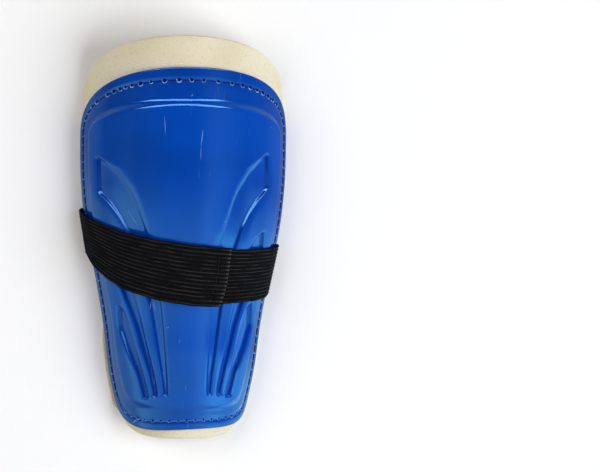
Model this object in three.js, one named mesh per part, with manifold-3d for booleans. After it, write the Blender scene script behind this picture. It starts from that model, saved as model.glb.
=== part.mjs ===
// Soccer shin guard: a moulded plastic shell sewn onto a foam pad, with one elastic strap right round it.
// Millimetres. The guard lies on its hollow side: +Z is the way its front faces, +Y runs to the knee end,
// and +X is to the right as the front is seen.
// The pad's long edges and the strap's back stretch lie on Z = 0.
import * as THREE from 'three';
import Module from 'manifold-3d';

const wasm = await Module();
wasm.setup();

const degrees = Math.PI / 180;

// Form that the shell and the pad share: an arch whose rim narrows towards the ankle end
const SIDES = [
  { along: -112, halfWidth: 31.1 },
  { along: -90, halfWidth: 34.8 },
  { along: -70, halfWidth: 38.7 },
  { along: -46, halfWidth: 41.8 },
  { along: -21, halfWidth: 46.1 },
  { along: 4, halfWidth: 51.3 },
  { along: 30, halfWidth: 54.1 },
  { along: 60, halfWidth: 54.6 },
  { along: 112, halfWidth: 54.6 },
];
const RIM_ANGLE = 68 * degrees;
const RIM_HEIGHT = 3.2;

// Shell
const SHELL_WALL = 2.0;
const SHELL_TOP = 90.0;
const SHELL_TOP_ARCH = 35.0;
const SHELL_TOP_POWER = 2;
const SHELL_BOTTOM = -102.2;
const SHELL_BOTTOM_ARCH = 24.0;
const SHELL_BOTTOM_POWER = 3.3;
const EDGE_BEVEL = 0.7;
const PANEL_RISE = 2.6;
const PANEL_FOOT = { top: 16.5, side: 10.5, bottom: 10.0 };
const PANEL_CREST = { top: 20.0, side: 13.0, bottom: 12.5 };

// Grooves sunk into each half of the panel: both lips' plan distance from the middle line, down the guard
const GROOVE_DEPTH = 1.4;
const GROOVE_LIP = 0.15;
const GROOVE_INNER_SLOPE = 2.4;
const GROOVE_OUTER_SLOPE = 0.8;
const GROOVE_WIDTH_SHARES = { depth: 0.6, innerSlope: 0.45, outerSlope: 0.3 };
const GROOVE_COVER = 0.6 * SHELL_WALL;
const GROOVE_ROOT = 0.5 * SHELL_WALL;
const GROOVES = [
  [
    { along: 43.5, inner: 45.0, outer: 45.3 },
    { along: 33.9, inner: 35.0, outer: 45.3 },
    { along: 24.9, inner: 28.9, outer: 45.3 },
    { along: 19.1, inner: 26.0, outer: 39.8 },
    { along: 12.2, inner: 23.6, outer: 34.9 },
    { along: 5.0, inner: 21.2, outer: 31.0 },
    { along: -5.3, inner: 18.1, outer: 27.2 },
    { along: -34.5, inner: 13.5, outer: 19.3 },
    { along: -47.7, inner: 12.3, outer: 17.2 },
    { along: -71.0, inner: 11.0, outer: 13.8 },
    { along: -80.6, inner: 10.7, outer: 12.9 },
    { along: -84.3, inner: 11.4, outer: 11.9 },
  ],
  [
    { along: 2.0, inner: 42.4, outer: 42.7 },
    { along: -2.7, inner: 37.6, outer: 42.5 },
    { along: -6.4, inner: 35.4, outer: 42.2 },
    { along: -13.3, inner: 33.0, outer: 41.9 },
    { along: -27.0, inner: 28.3, outer: 33.9 },
    { along: -46.6, inner: 23.6, outer: 26.8 },
    { along: -71.0, inner: 18.2, outer: 20.5 },
    { along: -81.6, inner: 16.4, outer: 18.6 },
    { along: -84.8, inner: 17.2, outer: 17.7 },
  ],
  [
    { along: -35.5, inner: 35.5, outer: 35.8 },
    { along: -38.2, inner: 33.3, outer: 35.7 },
    { along: -44.0, inner: 30.9, outer: 35.5 },
    { along: -48.2, inner: 29.7, outer: 35.3 },
    { along: -59.4, inner: 26.8, outer: 31.5 },
    { along: -71.6, inner: 24.0, outer: 26.8 },
    { along: -83.7, inner: 21.2, outer: 24.1 },
    { along: -85.9, inner: 22.5, outer: 23.1 },
  ],
];

// Foam pad
const PAD_GAP = 0.5;
const PAD_THICKNESS = 6.0;
const PAD_TOP = 107.0;
const PAD_TOP_ARCH = 34.0;
const PAD_TOP_POWER = 2;
const PAD_BOTTOM = -107.0;
const PAD_BOTTOM_ARCH = 26.0;
const PAD_BOTTOM_POWER = 3;
const PAD_ROUNDING = 0.8;
const PAD_SWELL = { left: 2.8, right: 1.6 };
const PAD_SWELL_SHOULDER = 1.0;
const PAD_SWELL_FOOT = 1.9;
const PAD_SWELL_FROM = -96;
const PAD_SWELL_TO = -36;
const PAD_SWELL_EASE = { bottom: 8, top: 22 };
const PAD_CROWN_CLEARANCE = 0.2;
const PAD_CROWN = PANEL_RISE - GROOVE_DEPTH - PAD_CROWN_CLEARANCE;
const PAD_FOOT_MARGIN = 1.0;
const PAD_CREST_MARGIN = 2.0;
const PAD_NOTCH = 2.6;
const PAD_NOTCH_MARGIN = 5.5;
const PAD_NOTCH_EASE = 5.0;

// Elastic strap, whose run over the front is a cubic in the share of the way from the crest to the rim
const STRAP_WIDTH = 31.5;
const STRAP_NARROWING = { left: 0.26, right: 0.14 };
const STRAP_THICKNESS = 1.4;
const STRAP_GAP = 0.5;
const STRAP_DROP = 10;
const STRAP_MIDDLE = -19.5;
const STRAP_SLANT = -8.8;
const STRAP_BOW = 12.4;
const STRAP_TWIST = -0.8;
const STRAP_START = -0.3;
const STRAP_END = 0.345;
const STRAP_LIFT_FROM = -0.75;
const STRAP_LIFT_TO = -0.36;
const STRAP_BACK_SLOPE_RIGHT = 0.21;
const STRAP_BACK_SLOPE_LEFT = -0.2;
const STRAP_TURN_SLOPE_LEFT = 0.4;
const HEM_LENGTH = 6.5;
const HEM_FOLD = 0.8;
const HEM_PROUD = 0.5;
const HEM_STEP = 0.02;
const END_LEAN = 0.12;
const END_LEAN_FROM = 0.25;
const SLOPE_PASSES = 6;
const SQUARE_TO = 0.5;
const SQUARE_NO_MORE = 0.95;

// Hook tape between the strap's two layers
const TAPE_THICKNESS = 0.8;
const TAPE_WIDTH = 22;
const TAPE_START = -0.2;
const TAPE_END = 0.17;

// How finely the surfaces are cut up
const SHELL_STEPS = { across: 20, topCorner: 5, side: 14, bottomCorner: 5 };
const PAD_STEPS = { across: 14, topCorner: 4, side: 12, bottomCorner: 4 };
const CORNER_TURN = 48 * degrees;
const GROOVE_STEPS = 4;
const STRAP_STEPS = { front: 15, turn: 6, back: 9 };
const TAPE_STEPS = 6;

// Colours, and how rough each surface is
const FINISHES = {
  shell: { color: 0x0d4bb5, roughness: 0.2 },
  foam_pad: { color: 0xd9cfb0, roughness: 0.9 },
  strap: { color: 0x14110f, roughness: 0.85 },
  hook_tape: { color: 0x1b1917, roughness: 0.9 },
};

const mix = (from, to, share) => from + (to - from) * share;

function ease(from, to, at) {
  const share = Math.min(1, Math.max(0, (at - from) / (to - from)));
  return share * share * (3 - 2 * share);
}

// Half width of the rim, by a smooth curve through the table's rows
function halfWidth(along) {
  let row = 0;
  while (row < SIDES.length - 2 && along > SIDES[row + 1].along) row += 1;
  const start = SIDES[row];
  const end = SIDES[row + 1];
  const before = SIDES[Math.max(0, row - 1)];
  const after = SIDES[Math.min(SIDES.length - 1, row + 2)];
  const span = end.along - start.along;
  const startSlope = ((end.halfWidth - before.halfWidth) / (end.along - before.along)) * span;
  const endSlope = ((after.halfWidth - start.halfWidth) / (after.along - start.along)) * span;
  const share = (along - start.along) / span;
  const square = share * share;
  const cube = square * share;
  return (2 * cube - 3 * square + 1) * start.halfWidth + (cube - 2 * square + share) * startSlope
    + (3 * square - 2 * cube) * end.halfWidth + (cube - square) * endSlope;
}

const formRadius = (along) => halfWidth(along) / Math.sin(RIM_ANGLE);
const axisHeight = (along) => RIM_HEIGHT - formRadius(along) * Math.cos(RIM_ANGLE);

// A point over the form: the angle from the crest, the place along the guard and the rise above the flange
function place(angle, along, rise) {
  const radius = formRadius(along) + rise;
  return new THREE.Vector3(radius * Math.sin(angle), along, axisHeight(along) + radius * Math.cos(angle));
}

// The form's directions at a point: lengthwise along the guard, and straight out of its surface
function directionsAt(angle, along, rise) {
  const step = 0.01;
  const round = place(angle + step, along, rise).sub(place(angle - step, along, rise));
  const lengthwise = place(angle, along + step, rise).sub(place(angle, along - step, rise)).normalize();
  return { lengthwise, outward: round.cross(lengthwise).normalize() };
}

function meshSolid(points, triangles) {
  const geometry = new THREE.BufferGeometry();
  const positions = points.flatMap((point) => [point.x, point.y, point.z]);
  geometry.setAttribute('position', new THREE.Float32BufferAttribute(positions, 3));
  geometry.setIndex(triangles);
  return geometry;
}

function addQuad(triangles, a, b, c, d) {
  triangles.push(a, b, c, a, c, d);
}

// One closed loop round the guard, set in from a piece's outline by its own amount at top, sides and bottom
function loopPlaces(outline, inset, steps) {
  const topBase = outline.top - outline.topArch;
  const bottomBase = outline.bottom + outline.bottomArch;
  const cap = (base, height, power, turn) => ({
    share: Math.sign(turn) * Math.abs(Math.sin(turn)) ** (2 / power),
    along: base + height * Math.abs(Math.cos(turn)) ** (2 / power),
  });
  const topCap = (turn) => cap(topBase, outline.topArch - inset.top, outline.topPower, turn);
  const bottomCap = (turn) => cap(bottomBase, inset.bottom - outline.bottomArch, outline.bottomPower, turn);
  const places = [];
  for (let step = 0; step < steps.across; step += 1) {
    places.push(topCap(mix(-CORNER_TURN, CORNER_TURN, step / steps.across)));
  }
  const rightSide = [];
  for (let step = 0; step < steps.topCorner; step += 1) {
    rightSide.push(topCap(mix(CORNER_TURN, 90 * degrees, step / steps.topCorner)));
  }
  for (let step = 0; step < steps.side; step += 1) {
    rightSide.push({ share: 1, along: mix(topBase, bottomBase, step / steps.side) });
  }
  for (let step = 0; step <= steps.bottomCorner; step += 1) {
    rightSide.push(bottomCap(mix(90 * degrees, CORNER_TURN, step / steps.bottomCorner)));
  }
  places.push(...rightSide);
  for (let step = 1; step < steps.across; step += 1) {
    places.push(bottomCap(mix(CORNER_TURN, -CORNER_TURN, step / steps.across)));
  }
  for (const right of rightSide.slice(1).reverse()) {
    places.push({ share: -right.share, along: right.along });
  }
  return places.map(({ share, along }) => {
    const side = Math.sign(share);
    const widest = outline.edgeAngle(along, side) - inset.side / formRadius(along);
    return { angle: share * widest, along };
  });
}

// The places inside a loop, row by row, blended from its four sides
function gridPlaces(loop, steps) {
  const rows = steps.topCorner + steps.side + steps.bottomCorner;
  const top = loop.slice(0, steps.across + 1);
  const right = loop.slice(steps.across, steps.across + rows + 1);
  const bottom = loop.slice(steps.across + rows, 2 * steps.across + rows + 1).reverse();
  const left = [loop[0], ...loop.slice(2 * steps.across + rows).reverse()];
  const blend = (key, row, column) => {
    const down = row / rows;
    const over = column / steps.across;
    const downwards = mix(top[column][key], bottom[column][key], down);
    const sideways = mix(left[row][key], right[row][key], over);
    const corners = mix(
      mix(top[0][key], top[steps.across][key], over),
      mix(bottom[0][key], bottom[steps.across][key], over),
      down,
    );
    return downwards + sideways - corners;
  };
  const grid = [];
  for (let row = 0; row <= rows; row += 1) {
    const line = [];
    for (let column = 0; column <= steps.across; column += 1) {
      line.push({ angle: blend('angle', row, column), along: blend('along', row, column) });
    }
    grid.push(line);
  }
  return grid;
}

// One face of a piece: bands between its rings, and a grid inside the last ring.
// A ring follows the piece's own outline, or another one that it names. The first ring is given back.
function addFace(points, triangles, outline, rings, steps, facesUp) {
  const quad = (a, b, c, d) => (facesUp ? addQuad(triangles, a, d, c, b) : addQuad(triangles, a, b, c, d));
  const addPoint = (spot, rise) => {
    points.push(place(spot.angle, spot.along, rise(spot.along, spot.angle)));
    return points.length - 1;
  };
  let firstRing = null;
  let outer = null;
  let loop = null;
  for (const ring of rings) {
    loop = loopPlaces(ring.outline ?? outline, ring.inset, steps);
    const inner = loop.map((spot) => addPoint(spot, ring.rise));
    if (outer) {
      inner.forEach((index, step) => {
        const next = (step + 1) % inner.length;
        quad(outer[step], outer[next], inner[next], index);
      });
    }
    firstRing = firstRing ?? inner;
    outer = inner;
  }
  const rows = steps.topCorner + steps.side + steps.bottomCorner;
  const rise = rings[rings.length - 1].rise;
  const grid = gridPlaces(loop, steps).map((line, row) => line.map((spot, column) => {
    if (row === 0) return outer[column];
    if (row === rows) return outer[2 * steps.across + rows - column];
    if (column === steps.across) return outer[steps.across + row];
    if (column === 0) return outer[outer.length - row];
    return addPoint(spot, rise);
  }));
  for (let row = 0; row < rows; row += 1) {
    for (let column = 0; column < steps.across; column += 1) {
      quad(grid[row][column], grid[row][column + 1], grid[row + 1][column + 1], grid[row + 1][column]);
    }
  }
  return firstRing;
}

// A closed piece between a front face and a back face
function platedSolid(frontOutline, frontRings, backOutline, backRings, steps) {
  const points = [];
  const triangles = [];
  const front = addFace(points, triangles, frontOutline, frontRings, steps, true);
  const back = addFace(points, triangles, backOutline, backRings, steps, false);
  front.forEach((index, step) => {
    const next = (step + 1) % front.length;
    addQuad(triangles, index, front[next], back[next], back[step]);
  });
  return meshSolid(points, triangles);
}

// A closed solid through a row of cross-sections with the same number of corners
function loftSolid(sections) {
  const points = sections.flat();
  const size = sections[0].length;
  const triangles = [];
  for (let section = 0; section < sections.length - 1; section += 1) {
    for (let corner = 0; corner < size; corner += 1) {
      const next = (corner + 1) % size;
      const here = section * size;
      const there = here + size;
      addQuad(triangles, here + corner, here + next, there + next, there + corner);
    }
  }
  const last = (sections.length - 1) * size;
  for (let corner = 1; corner < size - 1; corner += 1) {
    triangles.push(0, corner + 1, corner);
    triangles.push(last, last + corner, last + corner + 1);
  }
  return meshSolid(points, triangles);
}

function toManifold(geometry) {
  const vertProperties = new Float32Array(geometry.getAttribute('position').array);
  const triVerts = new Uint32Array(geometry.getIndex().array);
  return new wasm.Manifold(new wasm.Mesh({ numProp: 3, vertProperties, triVerts }));
}

function toGeometry(manifold) {
  const { numProp, vertProperties, triVerts } = manifold.getMesh();
  const geometry = new THREE.BufferGeometry();
  const positions = [];
  for (let start = 0; start < vertProperties.length; start += numProp) {
    positions.push(vertProperties[start], vertProperties[start + 1], vertProperties[start + 2]);
  }
  geometry.setAttribute('position', new THREE.Float32BufferAttribute(positions, 3));
  geometry.setIndex(Array.from(triVerts));
  return geometry;
}

// Moulded shell: flange, raised panel and an even wall behind both
const shellOutline = {
  top: SHELL_TOP,
  topArch: SHELL_TOP_ARCH,
  topPower: SHELL_TOP_POWER,
  bottom: SHELL_BOTTOM,
  bottomArch: SHELL_BOTTOM_ARCH,
  bottomPower: SHELL_BOTTOM_POWER,
  edgeAngle: () => RIM_ANGLE,
};
const onEdge = { top: 0, side: 0, bottom: 0 };
const evenInset = (amount) => ({ top: amount, side: amount, bottom: amount });
const level = (rise) => () => rise;

function plainShell() {
  const front = [
    { inset: onEdge, rise: level(-EDGE_BEVEL) },
    { inset: evenInset(EDGE_BEVEL), rise: level(0) },
    { inset: PANEL_FOOT, rise: level(0) },
    { inset: PANEL_CREST, rise: level(PANEL_RISE) },
  ];
  const back = [
    { inset: onEdge, rise: level(-SHELL_WALL) },
    { inset: PANEL_FOOT, rise: level(-SHELL_WALL) },
    { inset: PANEL_CREST, rise: level(PANEL_RISE - SHELL_WALL) },
  ];
  return platedSolid(shellOutline, front, shellOutline, back, SHELL_STEPS);
}

// A groove's cross-sections on the right (1) or left (-1) half, each from its roof past its lips to its floor
function grooveSections(rows, side, sectionLines) {
  return rows.map((row) => {
    const { along, roofRise, lipRise, floorRise, lips, floor } = sectionLines(row);
    const corner = (across, rise) => {
      const angle = Math.asin(across / (formRadius(along) + PANEL_RISE));
      return place(side * angle, along, rise);
    };
    const roofCorners = [];
    const floorCorners = [];
    for (let step = 0; step <= GROOVE_STEPS; step += 1) {
      const share = step / GROOVE_STEPS;
      roofCorners.push(corner(mix(lips.inner, lips.outer, share), roofRise));
      floorCorners.unshift(corner(mix(floor.inner, floor.outer, share), floorRise));
    }
    const outerLip = corner(lips.outer, lipRise);
    const innerLip = corner(lips.inner, lipRise);
    const corners = [...roofCorners, outerLip, ...floorCorners, innerLip];
    return side > 0 ? corners.reverse() : corners;
  });
}

function grooveSizes({ inner, outer }) {
  const width = outer - inner;
  return {
    depth: Math.min(GROOVE_DEPTH, Math.max(2 * GROOVE_LIP, GROOVE_WIDTH_SHARES.depth * width)),
    innerSlope: Math.min(GROOVE_INNER_SLOPE, GROOVE_WIDTH_SHARES.innerSlope * width),
    outerSlope: Math.min(GROOVE_OUTER_SLOPE, GROOVE_WIDTH_SHARES.outerSlope * width),
  };
}

// The hollow that the groove takes out of the panel's front
function grooveCut(rows, side) {
  return loftSolid(grooveSections(rows, side, (row) => {
    const { depth, innerSlope, outerSlope } = grooveSizes(row);
    return {
      along: row.along,
      roofRise: PANEL_RISE + SHELL_WALL,
      lipRise: PANEL_RISE - GROOVE_LIP,
      floorRise: PANEL_RISE - depth,
      lips: { inner: row.inner, outer: row.outer },
      floor: { inner: row.inner + innerSlope, outer: row.outer - outerSlope },
    };
  }));
}

// The wall that follows the groove behind the panel
function grooveBack(rows, side) {
  const lengthened = rows.map((row, index) => {
    const atTip = index === 0 ? GROOVE_COVER : 0;
    const atEnd = index === rows.length - 1 ? GROOVE_COVER : 0;
    return { ...row, along: row.along + atTip - atEnd };
  });
  return loftSolid(grooveSections(lengthened, side, (row) => {
    const { depth, innerSlope, outerSlope } = grooveSizes(row);
    return {
      along: row.along,
      roofRise: PANEL_RISE - GROOVE_ROOT,
      lipRise: PANEL_RISE - SHELL_WALL,
      floorRise: PANEL_RISE - depth - SHELL_WALL,
      lips: { inner: row.inner - GROOVE_COVER, outer: row.outer + GROOVE_COVER },
      floor: {
        inner: row.inner + innerSlope - GROOVE_COVER,
        outer: row.outer - outerSlope + GROOVE_COVER,
      },
    };
  }));
}

function shellGeometry() {
  let solid = toManifold(plainShell());
  for (const rows of GROOVES) {
    for (const side of [1, -1]) {
      solid = solid.add(toManifold(grooveBack(rows, side)));
    }
  }
  for (const rows of GROOVES) {
    for (const side of [1, -1]) {
      solid = solid.subtract(toManifold(grooveCut(rows, side)));
    }
  }
  return toGeometry(solid);
}

// Strap's place along the guard, for a share of the way from the crest (0) to the right (1) or left (-1) rim
function strapAlong(share) {
  return STRAP_MIDDLE + STRAP_SLANT * share + STRAP_BOW * share ** 2 + STRAP_TWIST * share ** 3;
}

function strapWidthAt(share) {
  const narrowing = share < 0 ? STRAP_NARROWING.left : STRAP_NARROWING.right;
  return STRAP_WIDTH * (1 - narrowing * share ** 2);
}

// Foam pad, notched where the strap passes under its edges and swollen out past the shell's lower rim
const padLevel = -SHELL_WALL - PAD_GAP;

function padEdgeHeight(along, side) {
  const reach = strapWidthAt(side) / 2 + PAD_NOTCH_MARGIN;
  return PAD_NOTCH * (1 - ease(reach, reach + PAD_NOTCH_EASE, Math.abs(along - strapAlong(side))));
}

function padOutline(rise) {
  return {
    top: PAD_TOP,
    topArch: PAD_TOP_ARCH,
    topPower: PAD_TOP_POWER,
    bottom: PAD_BOTTOM,
    bottomArch: PAD_BOTTOM_ARCH,
    bottomPower: PAD_BOTTOM_POWER,
    edgeAngle: (along, side) => {
      const height = padEdgeHeight(along, side) - axisHeight(along);
      return Math.acos(height / (formRadius(along) + rise(along, side)));
    },
  };
}

function padSwell(along, side) {
  const most = side < 0 ? PAD_SWELL.left : PAD_SWELL.right;
  const starts = ease(PAD_SWELL_FROM, PAD_SWELL_FROM + PAD_SWELL_EASE.bottom, along);
  const stops = 1 - ease(PAD_SWELL_TO - PAD_SWELL_EASE.top, PAD_SWELL_TO, along);
  return most * starts * stops;
}

function padGeometry() {
  const swollen = (along, side) => padLevel + padSwell(along, side);
  const frontEdge = (along, side) => swollen(along, side) - PAD_ROUNDING;
  const backLevel = level(padLevel - PAD_THICKNESS);
  const backEdge = level(padLevel - PAD_THICKNESS + PAD_ROUNDING);
  const underPanel = (panel, margin) => ({
    top: panel.top + margin,
    side: panel.side + margin,
    bottom: panel.bottom + margin,
  });
  const underCrest = underPanel(PANEL_CREST, PAD_CREST_MARGIN);
  const front = [
    { inset: onEdge, rise: frontEdge },
    { inset: evenInset(PAD_ROUNDING), rise: swollen },
    { inset: evenInset(PAD_SWELL_SHOULDER), rise: swollen },
    { inset: evenInset(PAD_SWELL_FOOT), rise: level(padLevel) },
    { outline: shellOutline, inset: underPanel(PANEL_FOOT, PAD_FOOT_MARGIN), rise: level(padLevel) },
    { outline: shellOutline, inset: underCrest, rise: level(padLevel + PAD_CROWN) },
  ];
  const back = [
    { inset: onEdge, rise: backEdge },
    { inset: evenInset(PAD_ROUNDING), rise: backLevel },
    { outline: shellOutline, inset: underCrest, rise: backLevel },
  ];
  return platedSolid(padOutline(frontEdge), front, padOutline(backEdge), back, PAD_STEPS);
}

// Height of the strap's middle surface over the form, laid on the panel and drawn down to the rim
function strapRise(share, along) {
  const crestShare = 1 - STRAP_DROP / (formRadius(along) * RIM_ANGLE);
  const onPanel = 1 - Math.max(0, (Math.abs(share) - crestShare) / (1 - crestShare));
  return PANEL_RISE * onPanel + STRAP_GAP + STRAP_THICKNESS / 2;
}

const strapLift = STRAP_THICKNESS + TAPE_THICKNESS + 2 * STRAP_GAP;

function frontStation(share, lift) {
  const along = strapAlong(share);
  const rise = strapRise(share, along) + lift;
  const angle = share * RIM_ANGLE;
  return {
    point: place(angle, along, rise),
    ...directionsAt(angle, along, rise),
    squareness: 1 - ease(SQUARE_TO, SQUARE_NO_MORE, Math.abs(share)),
    width: strapWidthAt(share),
  };
}

// The turn under the rim on one side, from the front (0) to the floor (1)
const rimRise = STRAP_GAP + STRAP_THICKNESS / 2;
const rimPointHeight = RIM_HEIGHT + rimRise * Math.cos(RIM_ANGLE);
const turnRadius = (rimPointHeight - STRAP_THICKNESS / 2) / (1 + Math.cos(RIM_ANGLE));
const turnStart = 90 * degrees - RIM_ANGLE;
const turnLength = turnRadius * (90 * degrees + turnStart);

function turnStation(side, share, alongAtRim, slope) {
  const along = alongAtRim + slope * turnLength * share;
  const turn = mix(turnStart, -90 * degrees, share);
  const rimPoint = place(RIM_ANGLE, along, rimRise);
  const middle = rimPoint.x - turnRadius * Math.cos(turnStart);
  const point = new THREE.Vector3(
    side * (middle + turnRadius * Math.cos(turn)),
    along,
    STRAP_THICKNESS / 2 + turnRadius * (1 + Math.sin(turn)),
  );
  const halfStep = 0.5;
  const rimSlope = halfWidth(along + halfStep) - halfWidth(along - halfStep);
  const outward = new THREE.Vector3(side, -rimSlope, 0).normalize().multiplyScalar(Math.cos(turn));
  outward.z = Math.sin(turn);
  const lengthwise = new THREE.Vector3(side * rimSlope, 1, 0).normalize();
  return { point, outward, lengthwise, squareness: 0, width: strapWidthAt(side) };
}

// The stretch across the back, a flat bow on the floor from the right turn's end to the left one's
function backStation(rightStation, leftStation, share) {
  const rightEnd = rightStation.point;
  const leftEnd = leftStation.point;
  const reach = rightEnd.x - leftEnd.x;
  const square = share * share;
  const cube = square * share;
  const along = (2 * cube - 3 * square + 1) * rightEnd.y
    + (cube - 2 * square + share) * STRAP_BACK_SLOPE_RIGHT * reach
    + (3 * square - 2 * cube) * leftEnd.y + (cube - square) * STRAP_BACK_SLOPE_LEFT * reach;
  const point = new THREE.Vector3(mix(rightEnd.x, leftEnd.x, share), along, STRAP_THICKNESS / 2);
  const lengthwise = rightStation.lengthwise.clone().lerp(leftStation.lengthwise, share).normalize();
  const width = mix(rightStation.width, leftStation.width, share);
  return { point, outward: new THREE.Vector3(0, 0, -1), lengthwise, squareness: 0, width };
}

// The strap's whole run: hidden start, right side, back, left side, and the top layer to its hem
function strapStations() {
  const stations = [];
  for (let step = 0; step <= STRAP_STEPS.front; step += 1) {
    stations.push(frontStation(mix(STRAP_START, 1, step / STRAP_STEPS.front), 0));
  }
  for (let step = 1; step <= STRAP_STEPS.turn; step += 1) {
    stations.push(turnStation(1, step / STRAP_STEPS.turn, strapAlong(1), STRAP_BACK_SLOPE_RIGHT));
  }
  const rightEnd = stations[stations.length - 1];
  const leftEnd = turnStation(-1, 1, strapAlong(-1), STRAP_TURN_SLOPE_LEFT);
  for (let step = 1; step < STRAP_STEPS.back; step += 1) {
    stations.push(backStation(rightEnd, leftEnd, step / STRAP_STEPS.back));
  }
  for (let step = STRAP_STEPS.turn; step > 0; step -= 1) {
    stations.push(turnStation(-1, step / STRAP_STEPS.turn, strapAlong(-1), STRAP_TURN_SLOPE_LEFT));
  }
  const hemStart = STRAP_END - HEM_LENGTH / (formRadius(strapAlong(STRAP_END)) * RIM_ANGLE);
  const topLayer = (share) => frontStation(share, strapLift * ease(STRAP_LIFT_FROM, STRAP_LIFT_TO, share));
  for (let step = 0; step <= STRAP_STEPS.front; step += 1) {
    stations.push(topLayer(mix(-1, hemStart - HEM_STEP, step / STRAP_STEPS.front)));
  }
  for (const share of [hemStart, mix(hemStart, STRAP_END, 0.5), STRAP_END]) {
    stations.push({ ...topLayer(share), fold: HEM_FOLD, proud: HEM_PROUD });
  }
  return stations;
}

// Each station gets the line across the strap in its own surface, as long as the strap's width asks for.
// Over the front the line is square to the strap's run. At the rims and on the floor it is lengthwise.
function crossLines(stations) {
  const frames = stations.map(({ outward, lengthwise }, index) => {
    const before = stations[Math.max(0, index - 1)].point;
    const after = stations[Math.min(stations.length - 1, index + 1)].point;
    const run = after.clone().sub(before);
    const onward = lengthwise.clone().cross(outward);
    return { onward, slope: Math.atan2(run.dot(lengthwise), run.dot(onward)) };
  });
  let slopes = frames.map((frame) => frame.slope);
  for (let pass = 0; pass < SLOPE_PASSES; pass += 1) {
    slopes = slopes.map((slope, index) => {
      const before = slopes[Math.max(0, index - 1)];
      const after = slopes[Math.min(slopes.length - 1, index + 1)];
      return (before + slope + after) / 3;
    });
  }
  return stations.map(({ lengthwise, squareness, width }, index) => {
    const { onward } = frames[index];
    const slope = slopes[index];
    const turned = slope * squareness;
    const across = lengthwise.clone().multiplyScalar(Math.cos(turned));
    across.addScaledVector(onward, -Math.sin(turned));
    across.multiplyScalar(width / 2 / Math.cos(slope - turned));
    const tangent = onward.clone().multiplyScalar(Math.cos(slope));
    tangent.addScaledVector(lengthwise, Math.sin(slope));
    return { across, tangent };
  });
}

function ribbonGeometry(stations, thickness, endLean) {
  const lines = crossLines(stations);
  const sections = stations.map((station, index) => {
    const { outward } = station;
    const { across, tangent } = lines[index];
    const leanShare = ease(1 - END_LEAN_FROM, 1, index / (stations.length - 1));
    across.addScaledVector(tangent, (endLean * leanShare * station.width) / 2);
    const top = thickness / 2 + (station.proud ?? 0);
    const bottom = -thickness / 2 - (station.fold ?? 0);
    const corner = (side, height) => station.point.clone()
      .addScaledVector(across, side)
      .addScaledVector(outward, height);
    return [corner(-1, bottom), corner(1, bottom), corner(1, top), corner(-1, top)];
  });
  return loftSolid(sections);
}

function tapeGeometry() {
  const lift = (STRAP_THICKNESS + TAPE_THICKNESS) / 2 + STRAP_GAP;
  const stations = [];
  for (let step = 0; step <= TAPE_STEPS; step += 1) {
    const station = frontStation(mix(TAPE_START, TAPE_END, step / TAPE_STEPS), lift);
    stations.push({ ...station, width: TAPE_WIDTH });
  }
  return ribbonGeometry(stations, TAPE_THICKNESS, 0);
}

function piece(name, geometry) {
  const plain = geometry.toNonIndexed();
  plain.computeVertexNormals();
  const material = new THREE.MeshStandardMaterial({ ...FINISHES[name], metalness: 0 });
  const mesh = new THREE.Mesh(plain, material);
  mesh.name = name;
  return mesh;
}

const shinGuard = new THREE.Group();
shinGuard.add(piece('shell', shellGeometry()));
shinGuard.add(piece('foam_pad', padGeometry()));
shinGuard.add(piece('strap', ribbonGeometry(strapStations(), STRAP_THICKNESS, END_LEAN)));
shinGuard.add(piece('hook_tape', tapeGeometry()));

// The whole is centred over the origin
const middle = new THREE.Box3().setFromObject(shinGuard).getCenter(new THREE.Vector3());
for (const mesh of shinGuard.children) {
  mesh.position.set(-middle.x, -middle.y, 0);
}

export default shinGuard;
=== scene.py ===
import math

import bmesh
import bpy
import numpy as np
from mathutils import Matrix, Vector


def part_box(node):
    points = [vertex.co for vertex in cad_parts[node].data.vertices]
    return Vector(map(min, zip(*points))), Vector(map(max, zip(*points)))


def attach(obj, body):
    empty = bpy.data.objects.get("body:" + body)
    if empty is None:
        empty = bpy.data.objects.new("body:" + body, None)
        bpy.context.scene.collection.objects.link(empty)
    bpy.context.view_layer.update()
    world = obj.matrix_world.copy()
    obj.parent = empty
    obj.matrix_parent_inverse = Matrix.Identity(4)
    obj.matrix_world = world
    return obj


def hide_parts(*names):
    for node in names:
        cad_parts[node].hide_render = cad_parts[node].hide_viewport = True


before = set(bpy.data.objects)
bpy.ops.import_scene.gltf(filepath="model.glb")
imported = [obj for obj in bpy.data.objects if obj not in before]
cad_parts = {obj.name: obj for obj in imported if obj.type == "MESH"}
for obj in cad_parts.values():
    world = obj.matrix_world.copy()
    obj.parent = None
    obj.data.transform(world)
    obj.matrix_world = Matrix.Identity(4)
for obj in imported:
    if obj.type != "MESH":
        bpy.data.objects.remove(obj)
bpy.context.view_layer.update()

# Shell
# One sheet of polypropylene, about 2 mm thick, moulded over an arched form and sewn to the pad behind it.
# A flat flange runs round it for the seam. The panel inside the flange is raised and has three tapered
# grooves sunk into each half, each with a gentle inner side and a steep outer side.
MM = 0.001
SQUARE_TURN = math.radians(90)
RIM_ANGLE = math.radians(68)
RIGHT_RIM_TURN = math.radians(1.3)
RIM_HEIGHT = 3.2
SIDE_ALONG = (-112, -90, -70, -46, -21, 4, 30, 60, 112)
SIDE_HALF_WIDTH = (31.1, 34.8, 38.7, 41.8, 46.1, 51.3, 54.1, 54.6, 54.6)
FORM_WIDENING = 1.015
SHELL_WALL = 2.0
RIM_ROUNDING = 0.8
RIM_TURNS = np.radians((0, 30, 60, 90))
RIM_BACK_ROUNDING = 0.5
RIM_BACK_TURNS = np.radians((0, 45, 90))
RIM_WAVE = {"height": 0.75, "turns": 2.4, "from": -84, "to": -101}
CORNER_TURN = math.radians(48)
SHELL_STEPS = {"across": 100, "top_corner": 32, "side": 124, "bottom_corner": 20}

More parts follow.
